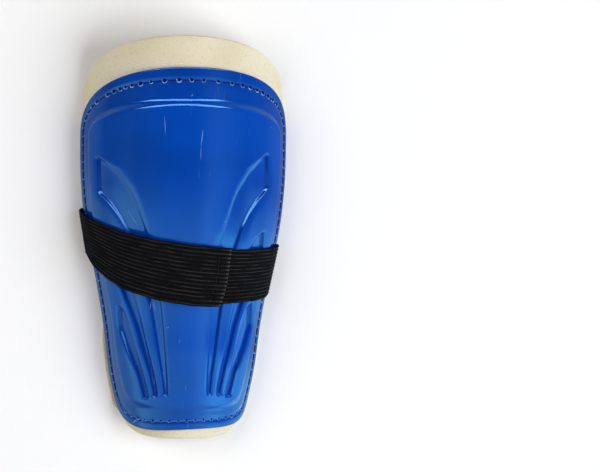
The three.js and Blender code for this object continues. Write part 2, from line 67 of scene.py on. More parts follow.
# Insets from the rim over the top, along the sides and over the bottom
SEAM_INSET = np.array([6.9, 3.9, 4.85])
PANEL_FOOT = np.array([16.5, 10.5, 10.0])
PANEL_CREST = np.array([20.2, 13.0, 12.8])

PANEL_RISE = 2.6
PANEL_LOW = {"share": 0.5, "from": -58, "to": -90}
PANEL_STEP = {"from": -0.2, "to": 1.4, "fillet": 0.42, "rings": 14}
PANEL_BACK = -0.6
PANEL_REFINEMENTS = (2.6, 1.4)
FLAT_RADIUS = 60
FLANGE = {"from": 1.85, "to": 0.3, "rings": 15}
SEAM_FURROW = 0.3
SEAM_FURROW_WIDTH = 0.2
GROOVE_TURN = math.radians(1.5)
GROOVE_SHIFT = 0.4
GROOVE_SMOOTHING = 1.2
GROOVE_DEPTH = {"most": 2.0, "least": 0.4, "of_width": 0.7}
GROOVE_INNER_SLOPE = {"most": 3.4, "least": 0.9, "of_width": 0.3}
GROOVE_INNER_SHARES = {"slope": 0.25, "step": 0.3, "floor": 0.45}
GROOVE_INNER_POWER = 1.5
GROOVE_INNER_STEP = 0.9
GROOVE_WALL = {"top": -0.8, "foot": 0.6, "fillet": 0.3}
GROOVE_END = 2.0
GROOVE_SHOULDER = {"most": 4.5, "least": 2.2, "of_width": 0.35}
GROOVE_SHOULDER_DROP = 0.3
# Painted shade: a deeper blue along the foot of each groove's outer wall, over the flange, and most of all
# low on the rim's sides
GROOVE_PAINTED_SHADE = {"place": -0.2, "width": 0.8, "shade": 0.66}
FLANGE_SHADE = 0.33
LOW_RIM = {"shade": 0.95, "from": 5, "to": 14}
SHELL_BLUE = "0344ac"
SHELL_BLUE_DEEP = "033c9b"
# The deeper blue of the painted shade
SHELL_BLUE_PAINTED_SHADE = "022a7c"
SCRATCH_BLUE = "a9c2ea"
SCRATCH_SHARE = 0.4
SHELL_GLOSS_TINT = (0.4, 1.0, 1.0, 1.0)

shell_low, shell_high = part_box("shell")
guard_middle = (shell_low.x + shell_high.x) / 2 / MM


def ease(start, end, at):
    share = np.clip((at - start) / (end - start), 0, 1)
    return share * share * (3 - 2 * share)


def ease_over(limits, at):
    return ease(limits["from"], limits["to"], at)


def ramp(start, end, at, fillet):
    share = np.clip((at - start) / (end - start), 0, 1)
    low = share * share / (2 * fillet * (1 - fillet))
    high = 1 - (1 - share) ** 2 / (2 * fillet * (1 - fillet))
    straight = (share - fillet / 2) / (1 - fillet)
    return np.where(share < fillet, low, np.where(share > 1 - fillet, high, straight))


def curve_between(share, start, end, start_slope, end_slope):
    square = share * share
    cube = square * share
    ends = (2 * cube - 3 * square + 1) * start + (3 * square - 2 * cube) * end
    return ends + (cube - 2 * square + share) * start_slope + (cube - square) * end_slope


def smooth_through(alongs, values, at):
    alongs = np.asarray(alongs, float)
    values = np.asarray(values, float)
    slopes = np.gradient(values, alongs)
    slopes[1:-1] = (values[2:] - values[:-2]) / (alongs[2:] - alongs[:-2])
    row = np.clip(np.searchsorted(alongs, at) - 1, 0, len(alongs) - 2)
    span = alongs[row + 1] - alongs[row]
    share = (at - alongs[row]) / span
    return curve_between(share, values[row], values[row + 1], slopes[row] * span, slopes[row + 1] * span)


def form_radius(along):
    return smooth_through(SIDE_ALONG, SIDE_HALF_WIDTH, along) / math.sin(RIM_ANGLE)


def axis_height(along):
    return RIM_HEIGHT - form_radius(along) * math.cos(RIM_ANGLE)


def place(angle, along, rise):
    radius = form_radius(along) + rise
    across = guard_middle + FORM_WIDENING * radius * np.sin(angle)
    height = axis_height(along) + radius * np.cos(angle)
    return np.stack(np.broadcast_arrays(across, along, height), axis=-1)


def unit(vectors):
    return vectors / np.linalg.norm(vectors, axis=-1, keepdims=True)


def directions_at(angle, along, rise):
    step = 0.01
    onward = unit(place(angle + step, along, rise) - place(angle - step, along, rise))
    lengthwise = unit(place(angle, along + step, rise) - place(angle, along - step, rise))
    return lengthwise, unit(np.cross(onward, lengthwise))


# A loop runs round an outline: over the top, down the right, along the bottom and up the left
def loop_places(outline, inset, steps):
    top_inset, side_inset, bottom_inset = inset
    top_base = outline["top"] - outline["top_arch"]
    bottom_base = outline["bottom"] + outline["bottom_arch"]

    def cap(base, height, powers, turn):
        power = np.where(turn < 0, *powers)
        share = np.sign(turn) * np.abs(np.sin(turn)) ** (2 / power)
        return np.stack([share, base + height * np.abs(np.cos(turn)) ** (2 / power)], axis=-1)

    def top_cap(turn):
        return cap(top_base, outline["top_arch"] - top_inset, outline["top_powers"], turn)

    def bottom_cap(turn):
        return cap(bottom_base, bottom_inset - outline["bottom_arch"], outline["bottom_powers"], turn)

    def one_side(side):
        top_turns = np.linspace(CORNER_TURN, SQUARE_TURN, steps["top_corner"], endpoint=False)
        straight = np.linspace(top_base, bottom_base, steps["side"], endpoint=False)
        edge = np.stack([np.full_like(straight, side), straight], axis=-1)
        bottom_turns = np.linspace(SQUARE_TURN, CORNER_TURN, steps["bottom_corner"] + 1)
        return np.concatenate([top_cap(side * top_turns), edge, bottom_cap(side * bottom_turns)])

    across = steps["across"]
    top = top_cap(np.linspace(-CORNER_TURN, CORNER_TURN, across, endpoint=False))
    bottom = bottom_cap(np.linspace(CORNER_TURN, -CORNER_TURN, across + 1)[1:-1])
    left = one_side(-1)[1:][::-1]
    share, along = np.concatenate([top, one_side(1), bottom, left]).T
    widest = outline["edge_angle"](along, np.sign(share)) - side_inset / form_radius(along)
    return share * widest, along


def loop_sides(loop, steps):
    across = steps["across"]
    rows = steps["top_corner"] + steps["side"] + steps["bottom_corner"]
    top = loop[: across + 1]
    right = loop[across : across + rows + 1]
    bottom = loop[across + rows : 2 * across + rows + 1][::-1]
    left = np.concatenate([loop[:1], loop[2 * across + rows :][::-1]])
    return top, right, bottom, left


def grid_places(loop, steps):
    top, right, bottom, left = loop_sides(np.stack(loop, axis=-1), steps)
    down = np.linspace(0, 1, len(left))[:, None, None]
    over = np.linspace(0, 1, len(top))[None, :, None]
    downwards = top[None] * (1 - down) + bottom[None] * down
    sideways = left[:, None] * (1 - over) + right[:, None] * over
    upper = top[0] * (1 - over) + top[-1] * over
    lower = bottom[0] * (1 - over) + bottom[-1] * over
    places = downwards + sideways - (upper * (1 - down) + lower * down)
    return places[..., 0], places[..., 1]


def new_block():
    return {"points": [], "faces": [], "count": 0}


def add_points(block, points):
    flat = points.reshape(-1, 3)
    first = block["count"]
    block["points"].append(flat)
    block["count"] += len(flat)
    return np.arange(first, first + len(flat)).reshape(points.shape[:-1])


def add_faces(block, *corners):
    faces = np.stack(np.broadcast_arrays(*corners), axis=-1)
    block["faces"].extend(faces.reshape(-1, len(corners)).tolist())


def join_loops(block, loops):
    for before, after in zip(loops[:-1], loops[1:]):
        add_faces(block, after, before, np.roll(before, -1), np.roll(after, -1))


def join_halved(block, before, after):
    even, odd = before[0::2], before[1::2]
    add_faces(block, after, even, odd)
    add_faces(block, after, odd, np.roll(after, -1))
    add_faces(block, np.roll(after, -1), odd, np.roll(even, -1))


def add_grid(block, loop_indexes, points, steps, faces_up):
    indexes = np.empty(points.shape[:2], int)
    indexes[1:-1, 1:-1] = add_points(block, points[1:-1, 1:-1])
    indexes[0], indexes[:, -1], indexes[-1], indexes[:, 0] = loop_sides(loop_indexes, steps)
    corners = [indexes[:-1, :-1], indexes[1:, :-1], indexes[1:, 1:], indexes[:-1, 1:]]
    add_faces(block, *(corners if faces_up else corners[::-1]))


def linked(name, data):
    item = bpy.data.objects.new(name, data)
    bpy.context.scene.collection.objects.link(item)
    return item


def piece_from(name, block, material):
    mesh = bpy.data.meshes.new(name)
    mesh.from_pydata(np.concatenate(block["points"]) * MM, [], block["faces"])
    mesh.shade_smooth()
    mesh.materials.append(material)
    return linked(name, mesh)


def keep_point_values(piece, name, values):
    kind, field = ("FLOAT", "value") if values.ndim == 1 else ("FLOAT_VECTOR", "vector")
    layer = piece.data.attributes.new(name, kind, "POINT")
    layer.data.foreach_set(field, values.astype(np.float32).ravel())


def dress(piece, node):
    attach(piece, "root")
    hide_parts(node)


def coarser(steps, factor):
    return {key: count // factor for key, count in steps.items()}


def shell_edge_angle(along, side):
    return RIM_ANGLE + np.where(side > 0, RIGHT_RIM_TURN, 0)


# The powers are those of a superellipse, on the left and on the right
SHELL_OUTLINE = {
    "top": 90.0,
    "top_arch": 35.0,
    "top_powers": (2, 2.25),
    "bottom": -102.2,
    "bottom_arch": 24.0,
    "bottom_powers": (3.3, 4.0),
    "edge_angle": shell_edge_angle,
}

# Columns: place along the guard, then the plan distance of the floor's two edges from the middle line
GROOVES = (
    (
        (43.5, 45.0, 45.3),
        (33.9, 35.0, 45.3),
        (24.9, 28.9, 45.3),
        (19.1, 26.0, 39.8),
        (12.2, 23.6, 34.9),
        (5.0, 21.2, 31.0),
        (-5.3, 18.1, 27.2),
        (-34.5, 13.5, 19.3),
        (-47.7, 12.3, 17.2),
        (-71.0, 11.0, 13.8),
        (-80.6, 10.7, 12.9),
        (-84.3, 11.0, 12.6),
    ),
    (
        (2.0, 42.4, 42.7),
        (-2.7, 37.6, 42.5),
        (-6.4, 35.4, 42.2),
        (-13.3, 33.0, 41.9),
        (-27.0, 28.3, 33.9),
        (-46.6, 23.6, 26.8),
        (-71.0, 18.2, 20.5),
        (-81.6, 16.4, 18.6),
        (-84.8, 16.7, 18.3),
    ),
    (
        (-35.5, 35.5, 35.8),
        (-38.2, 33.3, 35.7),
        (-44.0, 30.9, 35.5),
        (-48.2, 29.7, 35.3),
        (-59.4, 26.8, 31.5),
        (-71.6, 24.0, 26.8),
        (-83.7, 21.2, 24.1),
        (-85.9, 21.7, 23.7),
    ),
)


def share_of(width, limits):
    return np.clip(limits["of_width"] * width, limits["least"], limits["most"])


def on_groove_pattern(angle, along):
    across = (form_radius(along) + PANEL_RISE) * np.sin(angle)
    pattern_along = along * math.cos(GROOVE_TURN) - across * math.sin(GROOVE_TURN) - GROOVE_SHIFT
    pattern_across = across * math.cos(GROOVE_TURN) + along * math.sin(GROOVE_TURN)
    pattern_radius = form_radius(pattern_along) + PANEL_RISE
    return np.arcsin(np.clip(pattern_across / pattern_radius, -1, 1)), pattern_along


# How far a place lies inside a groove's inner line, its outer line and its ends, and the width there
def groove_lines(rows, angle, along):
    angle, along = on_groove_pattern(angle, along)
    row_along, row_inner, row_outer = np.array(rows)[::-1].T
    row_radius = form_radius(row_along) + PANEL_RISE
    radius = form_radius(along) + PANEL_RISE
    steps = (-GROOVE_SMOOTHING, 0, GROOVE_SMOOTHING)

    def line_at(row_across, at):
        row_angle = np.arcsin(row_across / FORM_WIDENING / row_radius)
        return np.mean([np.interp(at + step, row_along, row_angle) for step in steps], axis=0)

    def run_past(row_across, side):
        line = line_at(row_across, along)
        slope = (line_at(row_across, along + 1) - line_at(row_across, along - 1)) / 2 * radius
        return side * (np.abs(angle) - line) * radius / np.sqrt(1 + slope * slope)

    width = (line_at(row_outer, along) - line_at(row_inner, along)) * radius
    ends = np.minimum(row_along[-1] - along, along - row_along[0])
    return run_past(row_inner, 1), run_past(row_outer, -1), ends, width


def groove_depth(angle, along):
    depth = np.zeros_like(along)
    fillet = GROOVE_WALL["fillet"]
    shares = GROOVE_INNER_SHARES
    for rows in GROOVES:
        past_inner, past_outer, ends, width = groove_lines(rows, angle, along)
        slope_width = share_of(width, GROOVE_INNER_SLOPE)
        slope = np.clip(past_inner / slope_width + 1, 0, 1) ** GROOVE_INNER_POWER
        step = ramp(0, GROOVE_INNER_STEP, past_inner, fillet)
        floor = np.clip(past_inner / np.maximum(width, GROOVE_INNER_STEP), 0, 1)
        inner_side = shares["slope"] * slope + shares["step"] * step + shares["floor"] * floor
        outer_side = ramp(GROOVE_WALL["top"], GROOVE_WALL["foot"], past_outer, fillet)
        within = ramp(-GROOVE_END / 4, GROOVE_END * 3 / 4, ends, fillet)
        sunk = np.minimum(inner_side, outer_side) * within
        shoulder_width = share_of(width, GROOVE_SHOULDER)
        shoulder = np.clip(1 + (past_outer - GROOVE_WALL["top"]) / shoulder_width, 0, 1) ** 2
        shoulder = shoulder * ease(-1, 1, past_inner) * within
        deepest = np.minimum(GROOVE_DEPTH["least"] + GROOVE_DEPTH["of_width"] * width, GROOVE_DEPTH["most"])
        depth = np.maximum(depth, deepest * sunk + GROOVE_SHOULDER_DROP * shoulder * (1 - sunk))
    return depth


# Painted shade along the foot of each groove's outer wall, fading at the groove's ends
def groove_painted_shade(angle, along):
    painted_shade = np.zeros_like(along)
    for rows in GROOVES:
        _, past_outer, ends, _ = groove_lines(rows, angle, along)
        by_wall = np.exp(-(((past_outer - GROOVE_PAINTED_SHADE["place"]) / GROOVE_PAINTED_SHADE["width"]) ** 2))
        painted_shade = np.maximum(painted_shade, by_wall * ease(-GROOVE_END, GROOVE_END, ends))
    return GROOVE_PAINTED_SHADE["shade"] * painted_shade


def near_groove(angle, along, reach):
    near = np.zeros(along.shape, bool)
    half = reach / 2
    for rows in GROOVES:
        past_inner, past_outer, ends, width = groove_lines(rows, angle, along)
        slope_width = share_of(width, GROOVE_INNER_SLOPE)
        by_inner = (past_inner > -slope_width / 2 - half) & (past_inner < half + GROOVE_INNER_STEP / 2)
        by_outer = (past_outer > GROOVE_WALL["top"] - half) & (past_outer < GROOVE_WALL["foot"] + half)
        by_end = (ends < GROOVE_END) & (past_inner > -reach) & (past_outer > -reach)
        near |= (by_inner | by_outer | by_end) & (ends > -half)
    return near


def panel_share(along):
    return 1 - (1 - PANEL_LOW["share"]) * ease_over(PANEL_LOW, along)


def shell_point(angle, along, rise):
    wave = RIM_WAVE["height"] * np.sin(RIM_WAVE["turns"] * angle)
    return place(angle, along + wave * ease_over(RIM_WAVE, along), rise)


# From the panel's edge down the step, over the flange and round the rim: an inset and a rise for each ring
def shell_rings():
    rings = []
    step_from, step_to, fillet = PANEL_STEP["from"], PANEL_STEP["to"], PANEL_STEP["fillet"]
    for step in np.linspace(step_to, step_from, PANEL_STEP["rings"] + 1):
        inset = PANEL_FOOT + (PANEL_CREST - PANEL_FOOT) * step
        rings.append((inset, PANEL_RISE * ramp(step_from, step_to, step, fillet)))
    for place_on_flange in np.linspace(FLANGE["from"], FLANGE["to"], FLANGE["rings"]):
        to_panel = max(0, place_on_flange - 1)
        inset = SEAM_INSET * min(1, place_on_flange) + (PANEL_FOOT - SEAM_INSET) * to_panel
        from_seam = (place_on_flange - 1) / SEAM_FURROW_WIDTH
        rings.append((inset, -SEAM_FURROW * math.exp(-(from_seam**2))))
    for turn in RIM_TURNS:
        edge_inset = RIM_ROUNDING * (1 - math.sin(turn))
        rings.append((np.full(3, edge_inset), -RIM_ROUNDING * (1 - math.cos(turn))))
    for turn in RIM_BACK_TURNS:
        edge_inset = RIM_BACK_ROUNDING * (1 - math.cos(turn))
        drop = SHELL_WALL - RIM_BACK_ROUNDING * (1 - math.sin(turn))
        rings.append((np.full(3, edge_inset), -drop))
    return rings


# The panel's grid is laid flat and cut finer along the grooves
def refined_panel(edge):
    def laid_flat(angle, along):
        return np.stack([angle * FLAT_RADIUS, along, np.zeros_like(along)], axis=-1)

    block = new_block()
    edge_indexes = add_points(block, laid_flat(*edge))
    add_grid(block, edge_indexes, laid_flat(*grid_places(edge, SHELL_STEPS)), SHELL_STEPS, True)
    flat_mesh = bpy.data.meshes.new("flat_panel")
    flat_mesh.from_pydata(np.concatenate(block["points"]), [], block["faces"])
    flat = bmesh.new()
    flat.from_mesh(flat_mesh)
    for reach in PANEL_REFINEMENTS:
        places = np.array([vert.co for vert in flat.verts])
        near = near_groove(places[:, 0] / FLAT_RADIUS, places[:, 1], reach)
        flat.verts.index_update()
        lines = [line for line in flat.edges if not line.is_boundary]
        lines = [line for line in lines if near[line.verts[0].index] and near[line.verts[1].index]]
        bmesh.ops.subdivide_edges(flat, edges=lines, cuts=1, use_grid_fill=True)
    flat.verts.index_update()
    places = np.array([vert.co for vert in flat.verts])
    faces = [[vert.index for vert in face.verts] for face in flat.faces]
    flat.free()
    bpy.data.meshes.remove(flat_mesh)
    return places[:, 0] / FLAT_RADIUS, places[:, 1], faces


shell_block = new_block()
panel_edge = loop_places(SHELL_OUTLINE, shell_rings()[0][0], SHELL_STEPS)
panel_angle, panel_along, panel_faces = refined_panel(panel_edge)
panel_rise = PANEL_RISE * panel_share(panel_along) - groove_depth(panel_angle, panel_along)
panel_indexes = add_points(shell_block, shell_point(panel_angle, panel_along, panel_rise))
shell_block["faces"].extend(panel_faces)
shell_loops = [panel_indexes[: len(panel_edge[0])]]
for ring_inset, ring_rise in shell_rings()[1:]:
    ring = loop_places(SHELL_OUTLINE, ring_inset, SHELL_STEPS)
    ring_height = ring_rise * panel_share(ring[1]) if ring_rise > 0 else ring_rise
    shell_loops.append(add_points(shell_block, shell_point(*ring, ring_height)))
join_loops(shell_block, shell_loops)

# Columns: how much coarser the loop on the shell's back is, and its inset
SHELL_BACK_LOOPS = ((2, 1.6), (4, 4.0))
last_loop = shell_loops[-1]
for coarseness, back_inset in SHELL_BACK_LOOPS:
    back_steps = coarser(SHELL_STEPS, coarseness)
    ring = loop_places(SHELL_OUTLINE, np.full(3, back_inset), back_steps)
    back_loop = add_points(shell_block, shell_point(*ring, -SHELL_WALL))
    join_halved(shell_block, last_loop, back_loop)
    last_loop = back_loop
for back_inset, back_rise in ((PANEL_FOOT, -SHELL_WALL), (PANEL_CREST, PANEL_BACK)):
    ring = loop_places(SHELL_OUTLINE, back_inset, back_steps)
    back_loop = add_points(shell_block, shell_point(*ring, back_rise))
    join_loops(shell_block, [last_loop, back_loop])
    last_loop = back_loop
add_grid(shell_block, last_loop, shell_point(*grid_places(ring, back_steps), PANEL_BACK), back_steps, False)


def colour(hex_code):
    values = []
    for start in (0, 2, 4):
        shown = int(hex_code[start : start + 2], 16) / 255
        values.append(shown / 12.92 if shown <= 0.04045 else ((shown + 0.055) / 1.055) ** 2.4)
    return (*values, 1.0)


def set_inputs(tree, node, inputs):
    for name, value in inputs.items():
        if isinstance(value, bpy.types.NodeSocket):
            tree.links.new(value, node.inputs[name])
        else:
            node.inputs[name].default_value = value


def add_node(tree, kind, inputs=None, **settings):
    node = tree.nodes.new(kind)
    for name, value in settings.items():
        setattr(node, name, value)
    set_inputs(tree, node, inputs or {})
    return node


def add_math(tree, operation, first, second=0.0, clamp=False):
    settings = {"operation": operation, "use_clamp": clamp}
    return add_node(tree, "ShaderNodeMath", {0: first, 1: second}, **settings).outputs[0]


def times(tree, first, *others):
    for other in others:
        first = add_math(tree, "MULTIPLY", first, other)
    return first


def add_mix(tree, share, first, second):
    return add_node(tree, "ShaderNodeMix", {0: share, 6: first, 7: second}, data_type="RGBA").outputs[2]


def add_range(tree, value, low, high, new_low=0.0, new_high=1.0):
    inputs = {"Value": value, "From Min": low, "From Max": high, "To Min": new_low, "To Max": new_high}
    return add_node(tree, "ShaderNodeMapRange", inputs, interpolation_type="SMOOTHSTEP").outputs["Result"]


def add_noise(tree, where, scale, detail=3.0):
    inputs = {"Vector": where, "Scale": scale, "Detail": detail, "Roughness": 0.5}
    return add_node(tree, "ShaderNodeTexNoise", inputs).outputs["Fac"]


def add_cells(tree, where, scale, feature="F1"):
    inputs = {"Vector": where, "Scale": scale}
    return add_node(tree, "ShaderNodeTexVoronoi", inputs, feature=feature).outputs["Distance"]


def add_attribute(tree, name, output):
    return add_node(tree, "ShaderNodeAttribute", attribute_name=name).outputs[output]


def add_bump(tree, strength, distance, height):
    inputs = {"Strength": strength, "Distance": distance, "Height": height}
    return add_node(tree, "ShaderNodeBump", inputs).outputs["Normal"]


def stretched(tree, where, scale):
    return add_node(tree, "ShaderNodeMapping", {"Vector": where, "Scale": scale}).outputs["Vector"]


def object_place(tree):
    return add_node(tree, "ShaderNodeTexCoord").outputs["Object"]


# A look adds a material's nodes and gives what goes into the surface
def new_material(name, look):
    material = bpy.data.materials.new(name)
    material.use_nodes = True
    tree = material.node_tree
    set_inputs(tree, tree.nodes["Principled BSDF"], look(tree))
    return material


# A filling adds a group's nodes and gives what goes into its outputs
def new_group(name, kind, inputs, outputs, filling):
    group = bpy.data.node_groups.new(name, f"{kind}NodeTree")
    for way, sockets in (("INPUT", inputs), ("OUTPUT", outputs)):
        for label, socket_kind in sockets.items():
            group.interface.new_socket(label, in_out=way, socket_type=f"NodeSocket{socket_kind}")
    given = group.nodes.new("NodeGroupInput").outputs
    set_inputs(group, group.nodes.new("NodeGroupOutput"), filling(group, given))
    return group


def add_group(tree, group, inputs):
    return add_node(tree, "ShaderNodeGroup", inputs, node_tree=group).outputs


def mottle_filling(group, given):
    cloud = add_noise(group, given["Place"], given["Scale"], given["Detail"])
    share = add_range(group, cloud, given["Low"], given["High"])
    return {"Shade": add_mix(group, share, given["Dark"], given["Light"]), "Cloud": cloud}


def scratch_filling(group, given):
    def vector_math(operation, first, second, output):
        inputs = {0: first, "Scale" if operation == "SCALE" else 1: second}
        return add_node(group, "ShaderNodeVectorMath", inputs, operation=operation).outputs[output]

    flat = vector_math("MULTIPLY", given["Place"], (1, 1, 0), "Vector")
    reach = vector_math("SUBTRACT", flat, given["Start"], "Vector")
    line = vector_math("SUBTRACT", given["End"], given["Start"], "Vector")
    travelled = vector_math("DOT_PRODUCT", reach, line, "Value")
    length_square = vector_math("DOT_PRODUCT", line, line, "Value")
    share = add_math(group, "DIVIDE", travelled, length_square, clamp=True)
    gap = vector_math("DISTANCE", reach, vector_math("SCALE", line, share, "Vector"), "Value")
    from_middle = add_math(group, "ABSOLUTE", add_math(group, "SUBTRACT", share, 0.5))
    half_width = times(group, given["Half Width"], add_range(group, from_middle, 0.5, 0.1, 0.25, 1.0))
    return {"Mark": add_range(group, add_math(group, "DIVIDE", gap, half_width), 1.0, 0.3)}


SHADE_INPUTS = {"Place": "Vector", "Dark": "Color", "Light": "Color"}
MOTTLE_INPUTS = {**SHADE_INPUTS, "Scale": "Float", "Detail": "Float", "Low": "Float", "High": "Float"}
MOTTLE_OUTPUTS = {"Shade": "Color", "Cloud": "Float"}
mottle_group = new_group("mottle", "Shader", MOTTLE_INPUTS, MOTTLE_OUTPUTS, mottle_filling)
SCRATCH_INPUTS = {"Place": "Vector", "Start": "Vector", "End": "Vector", "Half Width": "Float"}
scratch_group = new_group("scratch_mark", "Shader", SCRATCH_INPUTS, {"Mark": "Float"}, scratch_filling)


def add_mottle(tree, where, scale, detail, limits, shades):
    inputs = {"Place": where, "Scale": scale, "Detail": detail, "Low": limits[0], "High": limits[1]}
    return add_group(tree, mottle_group, {**inputs, "Dark": colour(shades[0]), "Light": colour(shades[1])})


# Columns: start across and along, end across and along, half width
SCRATCHES = (
    (-11.8, 64.0, -11.2, 54.2, 0.22),
    (8.6, 57.2, 7.6, 48.5, 0.3),
    (7.6, 48.5, 7.4, 40.8, 0.18),
    (-17.6, -33.6, -18.1, -38.4, 0.2),
    (-16.6, -34.2, -15.5, -38.9, 0.18),
    (-9.6, -47.3, -8.9, -48.0, 0.2),
    (-8.9, -48.0, -8.1, -47.2, 0.2),
    (2.4, 74.4, 3.2, 75.8, 0.3),
    (20.9, 8.4, 21.4, 8.9, 0.3),
    (-30.4, 14.0, -25.6, 6.8, 0.15),
    (-26.2, -99.0, -24.2, -97.2, 0.5),
    (-21.6, -98.4, -21.0, -97.2, 0.4),
    (31.2, -92.0, 31.9, -90.3, 0.4),
    (32.0, -90.9, 32.7, -89.2, 0.4),
)


def shell_look(tree):
    where = object_place(tree)
    blue = add_mottle(tree, where, 22.0, 2.0, (0.35, 0.7), (SHELL_BLUE_DEEP, SHELL_BLUE))["Shade"]
    # Painted shade: the kept share mixes in the deeper blue
    blue = add_mix(tree, add_attribute(tree, "painted_shade", "Fac"), blue, colour(SHELL_BLUE_PAINTED_SHADE))
    rubbed = add_noise(tree, stretched(tree, where, (900, 45, 900)), scale=1.0, detail=2.0)
    rubbed = add_range(tree, rubbed, 0.66, 0.78, 0.0, 0.16)
    worn_here = add_range(tree, add_noise(tree, where, scale=60.0, detail=2.0), 0.5, 0.62)
    specks = add_range(tree, add_cells(tree, where, scale=70.0), 0.03, 0.012, 0.0, 0.2)
    marks = add_math(tree, "MAXIMUM", times(tree, rubbed, worn_here), specks)
    for start_across, start_along, end_across, end_along, half_width in SCRATCHES:
        inputs = {
            "Place": where,
            "Start": ((start_across + guard_middle) * MM, start_along * MM, 0),
            "End": ((end_across + guard_middle) * MM, end_along * MM, 0),
            "Half Width": half_width * MM,
        }
        mark = add_group(tree, scratch_group, inputs)["Mark"]
        marks = add_math(tree, "MAXIMUM", marks, times(tree, mark, SCRATCH_SHARE))
    haze = add_range(tree, add_noise(tree, where, scale=35.0), 0.3, 0.7, 0.11, 0.17)
    skin = add_noise(tree, where, scale=260.0, detail=2.0)
    ripple = add_noise(tree, where, scale=40.0, detail=1.0)
    height = add_math(tree, "ADD", times(tree, skin, 0.1), ripple)
    return {
        "Base Color": add_mix(tree, marks, blue, colour(SCRATCH_BLUE)),
        "Roughness": add_math(tree, "ADD", haze, times(tree, marks, 0.4)),
        "Specular IOR Level": 0.35,
        "Specular Tint": SHELL_GLOSS_TINT,
        "Normal": add_bump(tree, 0.05, 0.0008, height),
    }


shell = piece_from("shell_body", shell_block, new_material("shell_plastic", shell_look))
# The share of painted shade at each point: along the grooves' walls, then over the flange, most where the
# rim's sides lie low, and rising from none over the panel's step
panel_painted_shade = groove_painted_shade(panel_angle, panel_along)
flange_height = np.concatenate(shell_block["points"])[len(panel_painted_shade) :, 2]
flange_painted_shade = LOW_RIM["shade"] + (FLANGE_SHADE - LOW_RIM["shade"]) * ease_over(LOW_RIM, flange_height)
step_shares = np.repeat(np.linspace(0, 1, PANEL_STEP["rings"]), len(panel_edge[0]))
flange_painted_shade[: len(step_shares)] *= step_shares
keep_point_values(shell, "painted_shade", np.concatenate([panel_painted_shade, flange_painted_shade]))
dress(shell, "shell")

# Seam
# A machine seam in dark blue thread goes through the flange and the pad, all round the guard.
# Its needle tore large round holes in the plastic, with a raised paler rim, most of all over the top. A
# near-black disc in each hole is painted shade.
SEAM_PITCH = 4.6
SEAM_STITCH = {"radius": 0.32, "half_share": 0.5, "flatness": 0.8, "lift": 0.12}
HOLE_RADIUS = 1.15
HOLE_RIM = 0.32
HOLE_TILT = np.array([0.15, 0.42, 0])
HOLE_SEED = 7
HOLE_SIZES = (0.8, 1.15)
HOLE_FLATNESS = 0.8
SIDE_HOLE_SIZE = 0.68
TOP_HOLES = {"from": 45, "to": 65}
THREAD_BLUE_DARK = "0c0a2a"
THREAD_BLUE = "241c5c"
THREAD_BLUE_PALE = "5b8be0"
HOLE_BLACK = "010208"
HOLE_BLUE = "060c2c"
RIM_BLUE = "2f69c8"
RIM_BLUE_PALE = "94b8f0"

# Plan distances of the torn holes over the top from the middle line, left to right
SEAM_TOP_PLACES = (
    *(-41.2, -37.9, -34.8, -32.0, -28.7, -24.3, -18.8, -11.8),
    *(-4.2, 2.4, 8.8, 16.6, 24.1, 29.9, 34.2, 38.0),
)


def travelled_along(points):
    return np.append(0, np.cumsum(np.linalg.norm(np.diff(points, axis=0), axis=1)))


def seam_path(rise):
    angle, along = loop_places(SHELL_OUTLINE, SEAM_INSET, SHELL_STEPS)
    points = shell_point(angle, along, rise)
    travelled = travelled_along(np.concatenate([points, points[:1]]))
    over_top = SHELL_STEPS["across"] + 1
    top_stops = np.interp(SEAM_TOP_PLACES, points[:over_top, 0] - guard_middle, travelled[:over_top])
    rest = travelled[-1] - top_stops[-1]
    rest_count = round(rest / SEAM_PITCH)
    stops = np.concatenate([top_stops, top_stops[-1] + np.arange(1, rest_count) * rest / rest_count])
    stop_angle = np.interp(stops, travelled, np.append(angle, angle[0]))
    stop_along = np.interp(stops, travelled, np.append(along, along[0]))
    outward = directions_at(stop_angle, stop_along, rise)[1]
    return shell_point(stop_angle, stop_along, rise), outward


def row_object(name, spots, outward, onward, sizes):
    mesh = bpy.data.meshes.new(name)
    mesh.from_pydata(spots * MM, [], [])
    row = linked(name, mesh)
    keep_point_values(row, "outward", outward)
    keep_point_values(row, "onward", onward)
    keep_point_values(row, "size", sizes)
    return row


# A copy of the shape stands on each point of the row, turned and sized by the values kept there
def new_row_tree(name, sizes, shape):
    def filling(tree, given):
        def stored(label):
            inputs = {"Name": label}
            node = add_node(tree, "GeometryNodeInputNamedAttribute", inputs, data_type="FLOAT_VECTOR")
            return node.outputs["Attribute"]

        inputs = {"Vector": stored("outward")}
        upright = add_node(tree, "FunctionNodeAlignRotationToVector", inputs, axis="Z")
        inputs = {"Rotation": upright.outputs[0], "Vector": stored("onward")}
        turned = add_node(tree, "FunctionNodeAlignRotationToVector", inputs, axis="X", pivot_axis="Z")
        inputs = {"Rotation": turned.outputs[0], "Scale": stored("size"), "Instance": shape(tree, given)}
        inputs["Points"] = given["Geometry"]
        placed = add_node(tree, "GeometryNodeInstanceOnPoints", inputs).outputs["Instances"]
        plain = add_node(tree, "GeometryNodeRealizeInstances", {"Geometry": placed}).outputs["Geometry"]
        inputs = {"Geometry": plain, "Material": given["Material"]}
        return {"Geometry": add_node(tree, "GeometryNodeSetMaterial", inputs).outputs["Geometry"]}

    inputs = {"Geometry": "Geometry", **{size: "Float" for size in sizes}, "Material": "Material"}
    return new_group(name, "Geometry", inputs, {"Geometry": "Geometry"}, filling)


def smoothed(tree, mesh):
    return add_node(tree, "GeometryNodeSetShadeSmooth", {"Geometry": mesh}).outputs["Geometry"]


